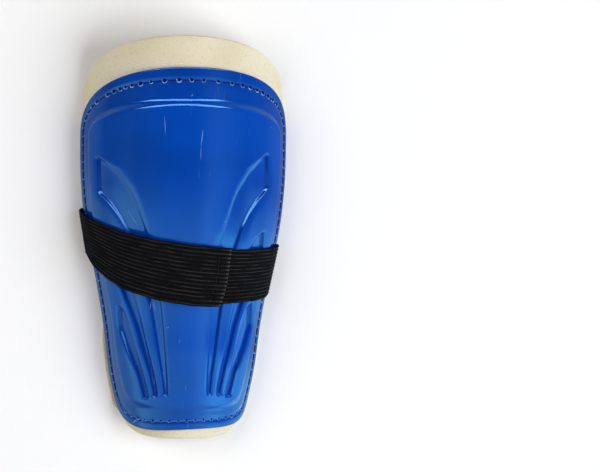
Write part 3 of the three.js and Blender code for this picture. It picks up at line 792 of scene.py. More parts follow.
def stitch_shape(tree, given):
    inputs = {"Segments": 8, "Rings": 6, "Radius": given["Thread Radius"]}
    return smoothed(tree, add_node(tree, "GeometryNodeMeshUVSphere", inputs).outputs["Mesh"])


def rim_shape(tree, given):
    def circle(points, radius):
        inputs = {"Resolution": points, "Radius": radius}
        return add_node(tree, "GeometryNodeCurvePrimitiveCircle", inputs).outputs["Curve"]

    inputs = {"Curve": circle(12, given["Ring Radius"]), "Profile Curve": circle(5, given["Tube Radius"])}
    return smoothed(tree, add_node(tree, "GeometryNodeCurveToMesh", inputs).outputs["Mesh"])


# A near-black disc sunk in each needle hole: painted shade for the hole's dark inside
def hole_shade_disc(tree, given):
    inputs = {"Vertices": 9, "Radius": given["Shade Disc Radius"], "Depth": given["Shade Disc Depth"]}
    return add_node(tree, "GeometryNodeMeshCylinder", inputs).outputs["Mesh"]


def grown(row, tree, values):
    modifier = row.modifiers.new("row", "NODES")
    modifier.node_group = tree
    for item in tree.interface.items_tree:
        if item.in_out == "INPUT" and item.name in values:
            modifier[item.identifier] = values[item.name]
    shown = row.evaluated_get(bpy.context.evaluated_depsgraph_get())
    mesh = bpy.data.meshes.new_from_object(shown)
    row.modifiers.remove(modifier)
    mesh.name = row.name
    row.data = mesh
    return row


thread_tree = new_row_tree("thread_row", ["Thread Radius"], stitch_shape)


def stitch_row(name, starts, ends, outward, onward, stitch, material):
    lengths = np.linalg.norm(ends - starts, axis=1)
    middles = (starts + ends) / 2 + outward * stitch["lift"]
    sizes = np.ones_like(middles)
    sizes[:, 0] = lengths * stitch["half_share"] / stitch["radius"]
    sizes[:, 2] = stitch["flatness"]
    row = row_object(name, middles, outward, onward, sizes)
    return grown(row, thread_tree, {"Thread Radius": stitch["radius"] * MM, "Material": material})


def twist_filling(group, given):
    inputs = {"Vector": given["Place"], "Scale": 700.0, "Distortion": 2.0}
    twist = add_node(group, "ShaderNodeTexWave", inputs).outputs["Fac"]
    return {"Shade": add_mix(group, twist, given["Dark"], given["Light"]), "Twist": twist}


TWIST_OUTPUTS = {"Shade": "Color", "Twist": "Float"}
twist_group = new_group("thread_twist", "Shader", SHADE_INPUTS, TWIST_OUTPUTS, twist_filling)


def add_twist(tree, where, dark, light):
    return add_group(tree, twist_group, {"Place": where, "Dark": colour(dark), "Light": colour(light)})


def thread_look(tree):
    where = object_place(tree)
    twist = add_twist(tree, where, THREAD_BLUE_DARK, THREAD_BLUE)
    along = add_node(tree, "ShaderNodeSeparateXYZ", {"Vector": where}).outputs["Y"]
    # The thread is paler towards the bottom end of the guard
    tone_shift = add_range(tree, along, -0.082, -0.092, 0.0, 0.6)
    return {
        "Base Color": add_mix(tree, tone_shift, twist["Shade"], colour(THREAD_BLUE_PALE)),
        "Roughness": 0.6,
        "Specular IOR Level": 0.05,
        "Normal": add_bump(tree, 0.5, 0.0002, twist["Twist"]),
    }


# The disc is near black with a little dark blue: painted shade
def hole_look(tree):
    hole_shade_cloud = add_noise(tree, object_place(tree), scale=900.0, detail=2.0)
    shade = add_mix(tree, hole_shade_cloud, colour(HOLE_BLACK), colour(HOLE_BLUE))
    return {"Base Color": shade, "Roughness": 0.7, "Specular IOR Level": 0.05}


def rim_look(tree):
    stress = add_mottle(tree, object_place(tree), 700.0, 3.0, (0.4, 0.7), (RIM_BLUE, RIM_BLUE_PALE))
    bump = add_bump(tree, 0.4, 0.0002, stress["Cloud"])
    return {"Base Color": stress["Shade"], "Roughness": 0.4, "Specular IOR Level": 0.15, "Normal": bump}


seam_spots, seam_outward = seam_path(-SEAM_FURROW)
seam_next = np.roll(seam_spots, -1, axis=0)
seam_onward = unit(seam_next - seam_spots)
hole_size = np.random.default_rng(HOLE_SEED).uniform(*HOLE_SIZES, (len(seam_spots), 1)) * np.ones(3)
hole_size[:, 2] *= HOLE_FLATNESS
hole_size *= SIDE_HOLE_SIZE + (1 - SIDE_HOLE_SIZE) * ease_over(TOP_HOLES, seam_spots[:, 1:2])


def hole_row(name, sizes, shape, outward, material):
    row = row_object(name, seam_spots, outward, seam_onward, hole_size)
    values = {sizes[0]: HOLE_RADIUS * MM, sizes[1]: HOLE_RIM * MM, "Material": material}
    return grown(row, new_row_tree(f"{name}_row", sizes, shape), values)


rim_sizes = ("Ring Radius", "Tube Radius")
torn_rim = new_material("torn_rim", rim_look)
seam_rims = hole_row("seam_hole_rims", rim_sizes, rim_shape, unit(seam_outward + HOLE_TILT), torn_rim)
hole_shade_sizes = ("Shade Disc Radius", "Shade Disc Depth")
needle_hole = new_material("needle_hole", hole_look)
seam_holes = hole_row("seam_holes", hole_shade_sizes, hole_shade_disc, seam_outward, needle_hole)
dark_thread = new_material("seam_thread", thread_look)
seam_ends = (seam_spots, seam_next, seam_outward, seam_onward)
seam_thread = stitch_row("seam_thread", *seam_ends, SEAM_STITCH, dark_thread)
for seam_piece in (seam_rims, seam_holes, seam_thread):
    dress(seam_piece, "shell")

# Foam pad
# A 6 mm sheet of cream closed-cell foam, cut to shape and sewn behind the shell.
# It stands out past the shell above and below, and the seam squeezes it out past the lower sides.
PAD_LEVEL = -2.1
PAD_THICKNESS = 6.4
PAD_ROUNDING = 1.3
PAD_FRONT_TURNS = np.radians((22, 45, 67, 90))
PAD_BACK_TURNS = np.radians((0, 30, 60, 90))
PAD_CREST_MARGIN = 2
PAD_FOOT_MARGIN = 1
PAD_SWELL = {"left": 2.6, "right": 1.4, "shoulder": 1.0, "foot": 2.0, "rings": 5}
PAD_SWELL_BOTTOM = {"from": -96, "to": -88}
PAD_SWELL_TOP = {"from": -58, "to": -36}
PAD_CROWN = 0.6
PAD_FURROW_PLACES = (-1.5, -0.7, 0, 0.7, 1.5)
PAD_BACK_FURROW = 0.7
PAD_NOTCH = {"height": 2.6, "margin": 5.5, "ease": 5.0}
PAD_STEPS = {"across": 120, "top_corner": 32, "side": 120, "bottom_corner": 32}
STRAP_WIDTH = 32.3
STRAP_NARROWING = {"left": 0.29, "right": 0.175}
STRAP_COURSE = {"middle": -19.5, "slope": -8.8, "bend": 12.4, "sway": -0.8}
FOAM_CREAM_DARK = "d6ccac"
FOAM_CREAM = "e0d7bd"
FOAM_PIT_SHADE = "b7a478"
FOAM_SPECK = "8a7a58"


def strap_along(share):
    straight = STRAP_COURSE["middle"] + STRAP_COURSE["slope"] * share
    return straight + STRAP_COURSE["bend"] * share**2 + STRAP_COURSE["sway"] * share**3


def strap_width_at(share):
    narrowing = np.where(share < 0, STRAP_NARROWING["left"], STRAP_NARROWING["right"])
    return STRAP_WIDTH * (1 - narrowing * share * share)


# The strap passes under the pad's edge in a shallow notch
def pad_edge_height(along, side):
    reach = strap_width_at(side) / 2 + PAD_NOTCH["margin"]
    outside = ease(reach, reach + PAD_NOTCH["ease"], np.abs(along - strap_along(side)))
    return PAD_NOTCH["height"] * (1 - outside)


def pad_swell(along, side):
    most = np.where(side < 0, PAD_SWELL["left"], PAD_SWELL["right"])
    return most * ease_over(PAD_SWELL_BOTTOM, along) * (1 - ease_over(PAD_SWELL_TOP, along))


def pad_outline(rise):
    def edge_angle(along, side):
        height = pad_edge_height(along, side) - axis_height(along)
        return np.arccos(height / (form_radius(along) + rise(along, side)))

    return {
        "top": 107.0,
        "top_arch": 34.0,
        "top_powers": (2, 2),
        "bottom": -107.0,
        "bottom_arch": 26.0,
        "bottom_powers": (3, 3),
        "edge_angle": edge_angle,
    }


def pad_swollen(lift, drop):
    return lambda along, side: PAD_LEVEL + lift * pad_swell(along, side) - drop


def pad_level(height):
    return lambda along, side: np.full_like(along, height)


# From the middle of the front over the swollen edge to the middle of the back: outline, inset and rise
def pad_rings():
    back_level = PAD_LEVEL - PAD_THICKNESS
    front_edge = pad_outline(pad_swollen(1, PAD_ROUNDING))
    back_edge = pad_outline(pad_level(back_level + PAD_ROUNDING))
    crest_inset = PANEL_CREST + PAD_CREST_MARGIN
    rings = [(SHELL_OUTLINE, crest_inset, pad_level(PAD_LEVEL + PAD_CROWN))]
    for inset in (PANEL_FOOT + PAD_FOOT_MARGIN, (PANEL_FOOT + SEAM_INSET) / 2, SEAM_INSET, SEAM_INSET / 2):
        rings.append((SHELL_OUTLINE, inset, pad_level(PAD_LEVEL)))
    for share in np.linspace(0, 1, PAD_SWELL["rings"]):
        inset = PAD_SWELL["foot"] + (PAD_SWELL["shoulder"] - PAD_SWELL["foot"]) * share
        rings.append((front_edge, np.full(3, inset), pad_swollen(float(ease(0, 1, share)), 0)))
    for turn in PAD_FRONT_TURNS:
        inset = PAD_SWELL["shoulder"] * (1 - math.sin(turn))
        rings.append((front_edge, np.full(3, inset), pad_swollen(1, PAD_ROUNDING * (1 - math.cos(turn)))))
    for turn in PAD_BACK_TURNS:
        inset = PAD_ROUNDING * (1 - math.cos(turn))
        height = back_level + PAD_ROUNDING * (1 - math.sin(turn))
        rings.append((back_edge, np.full(3, inset), pad_level(height)))
    for from_seam in PAD_FURROW_PLACES:
        furrow = PAD_BACK_FURROW * math.exp(-(from_seam**2))
        rings.append((SHELL_OUTLINE, SEAM_INSET + from_seam, pad_level(back_level + furrow)))
    rings.append((SHELL_OUTLINE, crest_inset, pad_level(back_level)))
    return rings


def foam_look(tree):
    where = object_place(tree)
    cream = add_mottle(tree, where, 30.0, 3.0, (0.3, 0.7), (FOAM_CREAM_DARK, FOAM_CREAM))["Shade"]
    pebble = add_cells(tree, where, scale=1050.0, feature="SMOOTH_F1")
    # Painted shade: the pebble's hollows are painted a darker cream
    pit_shade = times(tree, add_range(tree, pebble, 0.45, 0.9), 0.4)
    cream = add_mix(tree, pit_shade, cream, colour(FOAM_PIT_SHADE))
    specks = times(tree, add_range(tree, add_cells(tree, where, scale=130.0), 0.05, 0.02), 0.5)
    grain = add_noise(tree, where, scale=1800.0, detail=2.0)
    height = add_math(tree, "ADD", pebble, times(tree, grain, 0.6))
    return {
        "Base Color": add_mix(tree, specks, cream, colour(FOAM_SPECK)),
        "Roughness": 0.85,
        "Specular IOR Level": 0.25,
        "Normal": add_bump(tree, 0.6, 0.0004, height),
    }


pad_block = new_block()
pad_loops = []
for ring_outline, ring_inset, ring_rise in pad_rings():
    ring_angle, ring_along = loop_places(ring_outline, ring_inset, PAD_STEPS)
    ring_points = place(ring_angle, ring_along, ring_rise(ring_along, ring_angle))
    ring_points[:, 2] = np.maximum(ring_points[:, 2], 0)
    pad_loops.append(add_points(pad_block, ring_points))
join_loops(pad_block, pad_loops)
pad_centre = loop_places(SHELL_OUTLINE, PANEL_CREST + PAD_CREST_MARGIN, PAD_STEPS)
pad_grid = grid_places(pad_centre, PAD_STEPS)
add_grid(pad_block, pad_loops[0], place(*pad_grid, PAD_LEVEL + PAD_CROWN), PAD_STEPS, True)
add_grid(pad_block, pad_loops[-1], place(*pad_grid, PAD_LEVEL - PAD_THICKNESS), PAD_STEPS, False)
foam_pad = piece_from("foam_pad_soft", pad_block, new_material("foam_skin", foam_look))
dress(foam_pad, "foam_pad")

# Seam on the pad's back
# The bobbin thread of the same seam shows on the hollow side as one row of stitches.
# It is the same dark thread, drawn into a furrow in the foam.
BOBBIN_RISE = 0.55
BOBBIN_STITCH = {"radius": 0.32, "half_share": 0.46, "flatness": 1.0, "lift": 0.0}
bobbin_spots, bobbin_outward = seam_path(PAD_LEVEL - PAD_THICKNESS + BOBBIN_RISE)
bobbin_next = np.roll(bobbin_spots, -1, axis=0)
bobbin_ends = (bobbin_spots, bobbin_next, -bobbin_outward, unit(bobbin_next - bobbin_spots))
bobbin_thread = stitch_row("bobbin_thread", *bobbin_ends, BOBBIN_STITCH, dark_thread)
dress(bobbin_thread, "foam_pad")

# Strap
# A black elastic webbing with fifteen lengthwise rubber cords under its weave, about 32 mm wide.
# It starts under its own free end, goes round the guard once and lies on itself, and the end is folded
# under and sewn across as a hem.
STRAP_THICKNESS = 1.4
STRAP_GAP = 0.5
STRAP_DROP = 10
STRAP_START = -0.3
STRAP_END = 0.345
UNDER_LAYER = {"share": 0.926, "shift": 0.6, "from": 0.5, "to": 1}
STRAP_LIFT = {"height": 3.2, "from": -0.75, "to": -0.36}
STRAP_END_DROP = {"height": 0.85, "from": 0.17, "to": 0.26}
STRAP_SLOPES = {"back_right": 0.21, "back_left": -0.2, "turn_left": 0.4}
STRAP_SQUARE = {"to": 0.5, "no_more": 0.95}
STRAP_END_LEAN = {"share": 0.04, "sweep": 2.6, "from": 0.25}
STRAP_EDGE = {"from": 0.955, "least": 0.12}
STRAP_STEPS = {"front": 100, "turn": 12, "back": 70, "hem": 14}
SLOPE_SAMPLES = 400
SLOPE_REACH = 40
HEM_LENGTH = 6.5
HEM_RISE = {"from": -0.15, "to": 0.25}
HEM_PROUD = 0.7
HEM_FOLD = 0.8
HEM_SEAM = {"place": 6.0, "width": 0.7, "dip": 0.5}
HEM_NOSE = {"length": 1.3, "least": 0.08, "least_of_cords": 0.5}
FAR_FROM_END = 99.0
RIB_COUNT = 15
RIB_POINTS = 6
RIB_HEIGHT = 0.45
STRAP_BLACK = "0b0a0a"
STRAP_CREST_HIGHLIGHT_GREY = "3a3837"
STRAP_STRAY = "3a3836"
STRAP_FOLD_HIGHLIGHT_GREY = "4c4a48"

# Columns: height as a share of the half width, length and start of the ripples along the strap's edges
STRAP_RIPPLES = ((0.006, 3.1, 0), (0.005, 1.7, 2))

rim_rise = STRAP_GAP + STRAP_THICKNESS / 2
turn_start = SQUARE_TURN - RIM_ANGLE
rim_point_height = RIM_HEIGHT + rim_rise * math.cos(RIM_ANGLE)
turn_radius = (rim_point_height - STRAP_THICKNESS / 2) / (1 + math.cos(RIM_ANGLE))
turn_length = turn_radius * (SQUARE_TURN + turn_start)


def strap_rise(share, along):
    crest_share = 1 - STRAP_DROP / (form_radius(along) * RIM_ANGLE)
    on_panel = 1 - max(0, (abs(share) - crest_share) / (1 - crest_share))
    return PANEL_RISE * on_panel + rim_rise


def front_station(share, lift, shift=0.0, width_share=1.0):
    along = strap_along(share) + shift
    rise = strap_rise(share, along) + lift
    angle = share * RIM_ANGLE
    lengthwise, outward = directions_at(angle, along, rise)
    return {
        "point": place(angle, along, rise),
        "outward": outward,
        "lengthwise": lengthwise,
        "squareness": 1 - ease(STRAP_SQUARE["to"], STRAP_SQUARE["no_more"], abs(share)),
        "width": strap_width_at(share) * width_share,
    }


# The strap turns round the pad's edge in an arc and slopes along the guard as it goes
def turn_station(side, share, slope):
    along = strap_along(side) + slope * turn_length * share
    turn = turn_start - (SQUARE_TURN + turn_start) * share
    rim_across = place(RIM_ANGLE, along, rim_rise)[0] - guard_middle
    middle = rim_across - turn_radius * math.cos(turn_start)
    across = guard_middle + side * (middle + turn_radius * math.cos(turn))
    height = STRAP_THICKNESS / 2 + turn_radius * (1 + math.sin(turn))
    rim_slope = (form_radius(along + 0.5) - form_radius(along - 0.5)) * math.sin(RIM_ANGLE)
    flat_outward = unit(np.array([side, -rim_slope, 0])) * math.cos(turn)
    return {
        "point": np.array([across, along, height]),
        "outward": flat_outward + np.array([0, 0, math.sin(turn)]),
        "lengthwise": unit(np.array([side * rim_slope, 1, 0])),
        "squareness": 0,
        "width": strap_width_at(side),
    }


def back_station(right_end, left_end, share):
    right_point, left_point = right_end["point"], left_end["point"]
    reach = right_point[0] - left_point[0]
    slopes = (STRAP_SLOPES["back_right"] * reach, STRAP_SLOPES["back_left"] * reach)
    along = curve_between(share, right_point[1], left_point[1], *slopes)
    lengthwise = right_end["lengthwise"] * (1 - share) + left_end["lengthwise"] * share
    return {
        "point": np.array([right_point[0] - reach * share, along, STRAP_THICKNESS / 2]),
        "outward": np.array([0.0, 0.0, -1.0]),
        "lengthwise": unit(lengthwise),
        "squareness": 0,
        "width": right_end["width"] * (1 - share) + left_end["width"] * share,
    }


def strap_stations():
    stations = []
    for share in np.linspace(STRAP_START, 1, STRAP_STEPS["front"]):
        under = 1 - ease_over(UNDER_LAYER, share)
        width_share = 1 - (1 - UNDER_LAYER["share"]) * under
        stations.append(front_station(share, 0, UNDER_LAYER["shift"] * under, width_share))
    turn_shares = np.linspace(0, 1, STRAP_STEPS["turn"] + 1)[1:]
    for share in turn_shares:
        stations.append(turn_station(1, share, STRAP_SLOPES["back_right"]))
    right_end = stations[-1]
    left_end = turn_station(-1, 1, STRAP_SLOPES["turn_left"])
    for share in np.linspace(0, 1, STRAP_STEPS["back"] + 1)[1:-1]:
        stations.append(back_station(right_end, left_end, share))
    for share in turn_shares[::-1]:
        stations.append(turn_station(-1, share, STRAP_SLOPES["turn_left"]))
    hem_share = HEM_LENGTH / (form_radius(strap_along(STRAP_END)) * RIM_ANGLE)
    hem_start = STRAP_END - hem_share
    before_hem = np.linspace(-1, hem_start, STRAP_STEPS["front"], endpoint=False)
    hem = STRAP_END - hem_share * (1 - np.sin(np.linspace(0, SQUARE_TURN, STRAP_STEPS["hem"])))
    for share in np.concatenate([before_hem, hem]):
        lift = STRAP_LIFT["height"] * ease_over(STRAP_LIFT, share)
        lift -= STRAP_END_DROP["height"] * ease_over(STRAP_END_DROP, share)
        station = front_station(share, lift)
        station["hem"] = ease_over(HEM_RISE, (share - hem_start) / hem_share)
        station["to_end"] = (STRAP_END - share) / hem_share * HEM_LENGTH
        stations.append(station)
    return stations


# The lines across the strap are square to its run on the front, and lie along the guard at its sides
def cross_lines(stations):
    names = ("point", "outward", "lengthwise", "squareness", "width")
    columns = [np.array([station[name] for station in stations], float) for name in names]
    points, outward, lengthwise, squareness, width = columns
    onward = np.cross(lengthwise, outward)
    run = np.gradient(points, axis=0)
    slope = np.arctan2(np.sum(run * lengthwise, axis=1), np.sum(run * onward, axis=1))
    travelled = travelled_along(points)
    even = np.linspace(0, travelled[-1], SLOPE_SAMPLES)
    window = np.hanning(2 * SLOPE_REACH + 1)
    padded = np.pad(np.interp(even, travelled, slope), SLOPE_REACH, mode="edge")
    even_slope = np.convolve(padded, window / window.sum(), mode="valid")
    slope = np.interp(travelled, even, even_slope)
    turned = slope * squareness
    across = lengthwise * np.cos(turned)[:, None] - onward * np.sin(turned)[:, None]
    across *= (width / 2 / np.cos(slope - turned))[:, None]
    tangent = onward * np.cos(slope)[:, None] + lengthwise * np.sin(slope)[:, None]
    near_end = ease(1 - STRAP_END_LEAN["from"], 1, np.linspace(0, 1, len(stations)))
    across += tangent * (STRAP_END_LEAN["share"] * near_end * width / 2)[:, None]
    return points, outward, across, tangent * (STRAP_END_LEAN["sweep"] * near_end)[:, None], travelled


def round_off(share):
    return np.sqrt(1 - np.clip(share, 0, 1) ** 2)


def strap_piece(material):
    stations = strap_stations()
    points, outward, across, sweep, travelled = cross_lines(stations)
    reach = np.linspace(-1, 1, RIB_COUNT * RIB_POINTS + 1)
    cords = np.abs(np.sin((reach + 1) / 2 * RIB_COUNT * math.pi))
    edge = round_off((np.abs(reach) - STRAP_EDGE["from"]) / (1 - STRAP_EDGE["from"]))[None, :]
    hem = np.array([station.get("hem", 0.0) for station in stations])
    to_end = np.array([station.get("to_end", FAR_FROM_END) for station in stations])
    nose = round_off(1 - to_end / HEM_NOSE["length"])[:, None]
    hem_seam = np.exp(-(((to_end - HEM_SEAM["place"]) / HEM_SEAM["width"]) ** 2))
    top = STRAP_THICKNESS / 2 + HEM_PROUD * hem - HEM_SEAM["dip"] * hem_seam
    bottom = -STRAP_THICKNESS / 2 - HEM_FOLD * hem
    middle = ((top + bottom) / 2)[:, None]
    half = ((top - bottom) / 2)[:, None]
    body = half * np.maximum(edge, STRAP_EDGE["least"]) * np.maximum(nose, HEM_NOSE["least"])
    cord_rise = RIB_HEIGHT * (cords - 1)[None, :] * edge * np.maximum(nose, HEM_NOSE["least_of_cords"])
    ripple = 1 + sum(height * np.sin(travelled / length + start) for height, length, start in STRAP_RIPPLES)
    side = points[:, None] + across[:, None] * (reach[None, :] * ripple[:, None])[..., None]
    side = side - sweep[:, None] * (np.clip(-reach, 0, 1) ** 2)[None, :, None]
    upper = side + outward[:, None] * (middle + body + cord_rise)[..., None]
    lower = side + outward[:, None] * (middle - body - cord_rise)[..., None]
    rings = np.concatenate([lower[:, :-1], upper[:, ::-1][:, :-1]], axis=1)
    block = new_block()
    indexes = add_points(block, rings)
    nexts = np.roll(indexes, -1, axis=1)
    add_faces(block, indexes[:-1], nexts[:-1], nexts[1:], indexes[1:])
    block["faces"].append(indexes[0][::-1].tolist())
    block["faces"].append(indexes[-1].tolist())
    piece = piece_from("strap_webbing", block, material)
    across_strap = np.concatenate([reach[:-1], reach[::-1][:-1]]) * STRAP_WIDTH / 2 * MM
    crest = np.concatenate([cords[:-1], cords[::-1][:-1]])
    weave = np.broadcast_arrays(across_strap[None, :], travelled[:, None] * MM, crest[None, :])
    keep_point_values(piece, "weave", np.stack(weave, axis=-1).reshape(-1, 3))
    fold = np.exp(-((to_end / HEM_NOSE["length"]) ** 2))
    keep_point_values(piece, "fold", np.repeat(fold, rings.shape[1]))
    seam_row = int(np.argmin(np.abs(to_end - HEM_SEAM["place"])))
    return piece, upper[seam_row], outward[seam_row], across[seam_row]


def strap_look(tree):
    weave = add_attribute(tree, "weave", "Vector")
    parts = add_node(tree, "ShaderNodeSeparateXYZ", {"Vector": weave}).outputs
    flat = add_node(tree, "ShaderNodeCombineXYZ", {"X": parts["X"], "Y": parts["Y"]}).outputs["Vector"]
    inputs = {"Vector": flat, "Scale": 330.0, "Distortion": 2.5, "Detail": 1.0}
    picks = add_node(tree, "ShaderNodeTexWave", inputs, bands_direction="Y").outputs["Fac"]
    fibres = add_noise(tree, stretched(tree, flat, (2500, 900, 1)), scale=1.0)
    tone_shift = add_noise(tree, stretched(tree, flat, (260, 90, 1)), scale=1.0)
    # Painted highlight: the cords' crests are painted a lighter grey, dotted by the picks and patchy, while
    # the valleys between them stay near black
    high = add_range(tree, parts["Z"], 0.84, 1.0)
    dotted = add_range(tree, picks, 0.2, 0.8, 0.2, 1.1)
    patchy = add_range(tree, tone_shift, 0.35, 0.62, 0.15, 1.2)
    black = add_mix(tree, times(tree, high, dotted, patchy), colour(STRAP_BLACK), colour(STRAP_CREST_HIGHLIGHT_GREY))
    stray = add_range(tree, fibres, 0.58, 0.8, 0.0, 0.45)
    black = add_mix(tree, stray, black, colour(STRAP_STRAY))
    # Painted highlight: the cords' crests at the folded end are painted a paler grey
    fold_highlight = times(tree, add_attribute(tree, "fold", "Fac"), add_range(tree, parts["Z"], 0.5, 1.0))
    height = add_math(tree, "ADD", times(tree, picks, 0.6), fibres)
    return {
        "Base Color": add_mix(tree, fold_highlight, black, colour(STRAP_FOLD_HIGHLIGHT_GREY)),
        "Roughness": 0.85,
        "Specular IOR Level": 0.03,
        "Normal": add_bump(tree, 0.5, 0.0003, height),
    }


elastic_weave = new_material("elastic_weave", strap_look)
strap, hem_line, hem_outward, hem_across = strap_piece(elastic_weave)
dress(strap, "strap")

# Hem stitches
# One row of black thread across the strap holds its folded end.
# The stitches are drawn down between the cords.
HEM_STITCH = {"radius": 0.22, "half_share": 0.42, "flatness": 1.0, "lift": 0.1}
HEM_STITCH_COUNT = 14
HEM_THREAD_DARK = "121111"
HEM_THREAD_GREY = "2c2a29"


def hem_look(tree):
    shade = add_twist(tree, object_place(tree), HEM_THREAD_DARK, HEM_THREAD_GREY)["Shade"]
    return {"Base Color": shade, "Roughness": 0.7, "Specular IOR Level": 0.05}


hem_places = np.linspace(0, len(hem_line) - 1, HEM_STITCH_COUNT + 1)
hem_columns = [np.interp(hem_places, np.arange(len(hem_line)), column) for column in hem_line.T]
hem_points = np.stack(hem_columns, axis=-1)
hem_ups = np.tile(hem_outward, (HEM_STITCH_COUNT, 1))
hem_runs = np.tile(unit(hem_across), (HEM_STITCH_COUNT, 1))
hem_ends = (hem_points[:-1], hem_points[1:], hem_ups, hem_runs)
hem_thread = new_material("hem_thread", hem_look)
hem_stitches = stitch_row("hem_stitches", *hem_ends, HEM_STITCH, hem_thread)
dress(hem_stitches, "strap")

# Hook tape
# A patch of moulded nylon hooks, sewn between the strap's two layers to hold the free end down.
# It is hidden by the strap, so the plain patch stays and only gets a finish with rows of hooks.
HOOK_GREY = "2a2724"
HOOK_BLACK = "0d0c0b"


def hook_look(tree):
    hooks = add_cells(tree, object_place(tree), scale=700.0)
    shade = add_mix(tree, hooks, colour(HOOK_GREY), colour(HOOK_BLACK))
    return {"Base Color": shade, "Roughness": 0.55, "Normal": add_bump(tree, 0.8, 0.0006, hooks)}


hook_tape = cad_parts["hook_tape"]
hook_tape.data.materials.clear()
hook_tape.data.materials.append(new_material("hook_nylon", hook_look))

# Floor
# A plain pale table top, so that only the guard draws the eye.
# The guard lies on it, and it doesn't show in the shell's gloss.
FLOOR_HALF = 3.0
FLOOR_CORNERS = ((-1, -1), (1, -1), (1, 1), (-1, 1))
FLOOR_GREY = "f6f6f4"
FLOOR_WHITE = "fafafa"


def floor_look(tree):
    cloud = add_noise(tree, object_place(tree), scale=3.0)
    return {"Base Color": add_mix(tree, cloud, colour(FLOOR_GREY), colour(FLOOR_WHITE)), "Roughness": 0.9}


floor_mesh = bpy.data.meshes.new("floor")
floor_points = [(across * FLOOR_HALF, along * FLOOR_HALF, 0) for across, along in FLOOR_CORNERS]
floor_mesh.from_pydata(floor_points, [], [(0, 1, 2, 3)])
floor_mesh.materials.append(new_material("floor_white", floor_look))
floor = linked("floor", floor_mesh)
floor.visible_glossy = False

# Light
# A large key at the right and a weaker fill at the left light the guard without showing in its gloss.
# What the glossy shell mirrors is a plain studio: bright in front, dim at the sides, and with a bright band
# at the head.
SOFT_BOXES = {
    "key_right": {"where": (1.3, -0.4, 1.35), "side": 1.5, "glow": 5.3, "tint": (0.98, 1.0, 1.04)},
    "fill_left": {"where": (-1.2, 0.3, 1.3), "side": 1.2, "glow": 2.8, "tint": (1.06, 1.0, 0.93)},
}
ROOM_GLOW = 0.18
GLOSS_ROOM_GLOW = 0.1
GLOSS_GLOW = {"front": 2.0, "right": 0.5, "low_right": 3.4, "low_left": 1.4, "table": 0.6, "head": 28.0}
WHITE = (1.0, 1.0, 1.0, 1.0)
GLOSS_TINT = (0.6, 0.78, 1.0, 1.0)
HEAD_TINT = (0.5, 0.56, 1.0, 1.0)
RIGHT_TINT = (0.36, 0.84, 1.0, 1.0)


def add_soft_box(name, where, side, glow, tint):
    light = bpy.data.lights.new(name, "AREA")
    light.shape = "SQUARE"
    light.size = side
    light.energy = glow * math.pi * side * side
    light.color = tint
    box = linked(name, light)
    box.location = where
    box.rotation_mode = "QUATERNION"
    box.rotation_quaternion = (-box.location).to_track_quat("-Z", "Y")
    box.visible_glossy = False


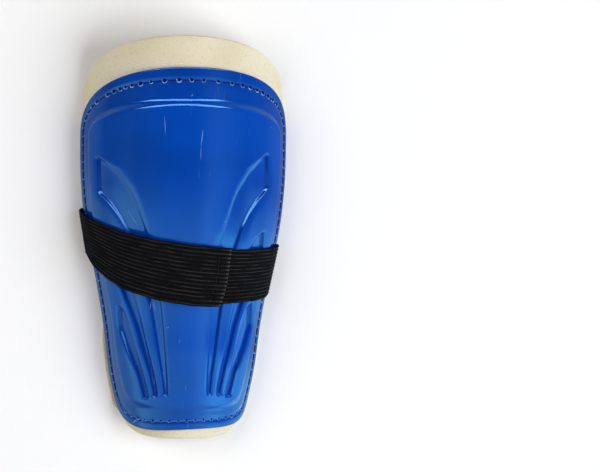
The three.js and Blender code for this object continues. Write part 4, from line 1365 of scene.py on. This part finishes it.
# Each patch of the studio is a share of its glow, by the direction in which a glossy ray leaves
def studio_patches(tree):
    direction = add_node(tree, "ShaderNodeTexCoord").outputs["Generated"]
    across, along, up = add_node(tree, "ShaderNodeSeparateXYZ", {"Vector": direction}).outputs

    def between(value, start, full, fading, end):
        return times(tree, add_range(tree, value, start, full), add_range(tree, value, end, fading))

    def either(first, second):
        return add_math(tree, "MAXIMUM", first, second)

    lower = add_range(tree, along, -0.19, -0.29)
    before = add_range(tree, along, -0.03, -0.27)
    above = add_range(tree, up, 0.0, 0.35)
    wider = add_range(tree, add_math(tree, "ABSOLUTE", across), 0.1, 0.8, 1.0, 1.6)
    left_or_lower = either(add_range(tree, across, 0.75, 0.4, 0.15, 1.0), lower)
    leaning = add_range(tree, along, -0.06, -0.24, 0.1, 1.0)
    side_or_lower = either(add_range(tree, up, 0.4, 0.1), lower)
    low = add_range(tree, along, 0.02, -0.12, 0.15, 1.0)
    level_square = add_math(tree, "SUBTRACT", 1.0, times(tree, up, up))
    level_length = either(add_math(tree, "SQRT", level_square), 0.001)
    facing_head = add_math(tree, "DIVIDE", along, level_length)
    return {
        "front": times(tree, before, above, wider, left_or_lower),
        "right": between(across, 0.2, 0.45, 0.6, 0.85),
        "low_right": times(tree, between(across, 0.5, 0.75, 0.97, 1.02), leaning, side_or_lower),
        "low_left": times(tree, between(across, -1.02, -0.97, -0.85, -0.7), low),
        "table": times(tree, add_range(tree, up, 0.15, -0.1), add_range(tree, across, 0.5, -0.5, 0.3, 1.2)),
        "head": times(tree, between(up, 0.38, 0.48, 0.66, 0.76), add_range(tree, facing_head, 0.54, 0.8)),
    }


def studio_world():
    world = bpy.data.worlds.new("studio")
    world.use_nodes = True
    tree = world.node_tree
    patches = studio_patches(tree)
    glow = GLOSS_ROOM_GLOW
    for name, patch in patches.items():
        glow = add_math(tree, "ADD", glow, times(tree, patch, GLOSS_GLOW[name]))
    in_gloss = add_node(tree, "ShaderNodeLightPath").outputs["Is Glossy Ray"]
    more = times(tree, in_gloss, add_math(tree, "SUBTRACT", glow, ROOM_GLOW))
    gloss_tint = add_mix(tree, patches["head"], GLOSS_TINT, HEAD_TINT)
    gloss_tint = add_mix(tree, patches["low_right"], gloss_tint, RIGHT_TINT)
    inputs = {
        "Color": add_mix(tree, in_gloss, WHITE, gloss_tint),
        "Strength": add_math(tree, "ADD", more, ROOM_GLOW),
    }
    set_inputs(tree, tree.nodes["Background"], inputs)
    return world


for box_name, box_values in SOFT_BOXES.items():
    add_soft_box(box_name, **box_values)
bpy.context.scene.world = studio_world()

# Camera
# Nearly straight above, from a little to the left, and far off with a long lens.
# It is turned to the middle of the frame, which lies to the right of the guard.
CAMERA_DISTANCE = 2.0
CAMERA_LEAN = math.radians(3.0)
CAMERA_ROLL = math.radians(0.45)
CAMERA_SENSOR = 36
AIM_HEIGHT = 0.018
PIXEL = 0.5335 * MM
FRAME_WIDTH = 600 * PIXEL
FRAME_MIDDLE = 116.4 * PIXEL
camera_data = bpy.data.cameras.new("camera")
camera_data.sensor_width = CAMERA_SENSOR
camera_data.lens = CAMERA_SENSOR * CAMERA_DISTANCE / FRAME_WIDTH
camera = linked("camera", camera_data)
camera_across = guard_middle * MM - CAMERA_DISTANCE * math.sin(CAMERA_LEAN)
camera.location = (camera_across, 0, AIM_HEIGHT + CAMERA_DISTANCE * math.cos(CAMERA_LEAN))
camera_turn = CAMERA_LEAN + math.atan(FRAME_MIDDLE / CAMERA_DISTANCE)
camera.rotation_euler = (0, -camera_turn, CAMERA_ROLL)
bpy.context.scene.camera = camera
bpy.context.scene.view_settings.view_transform = "Standard"
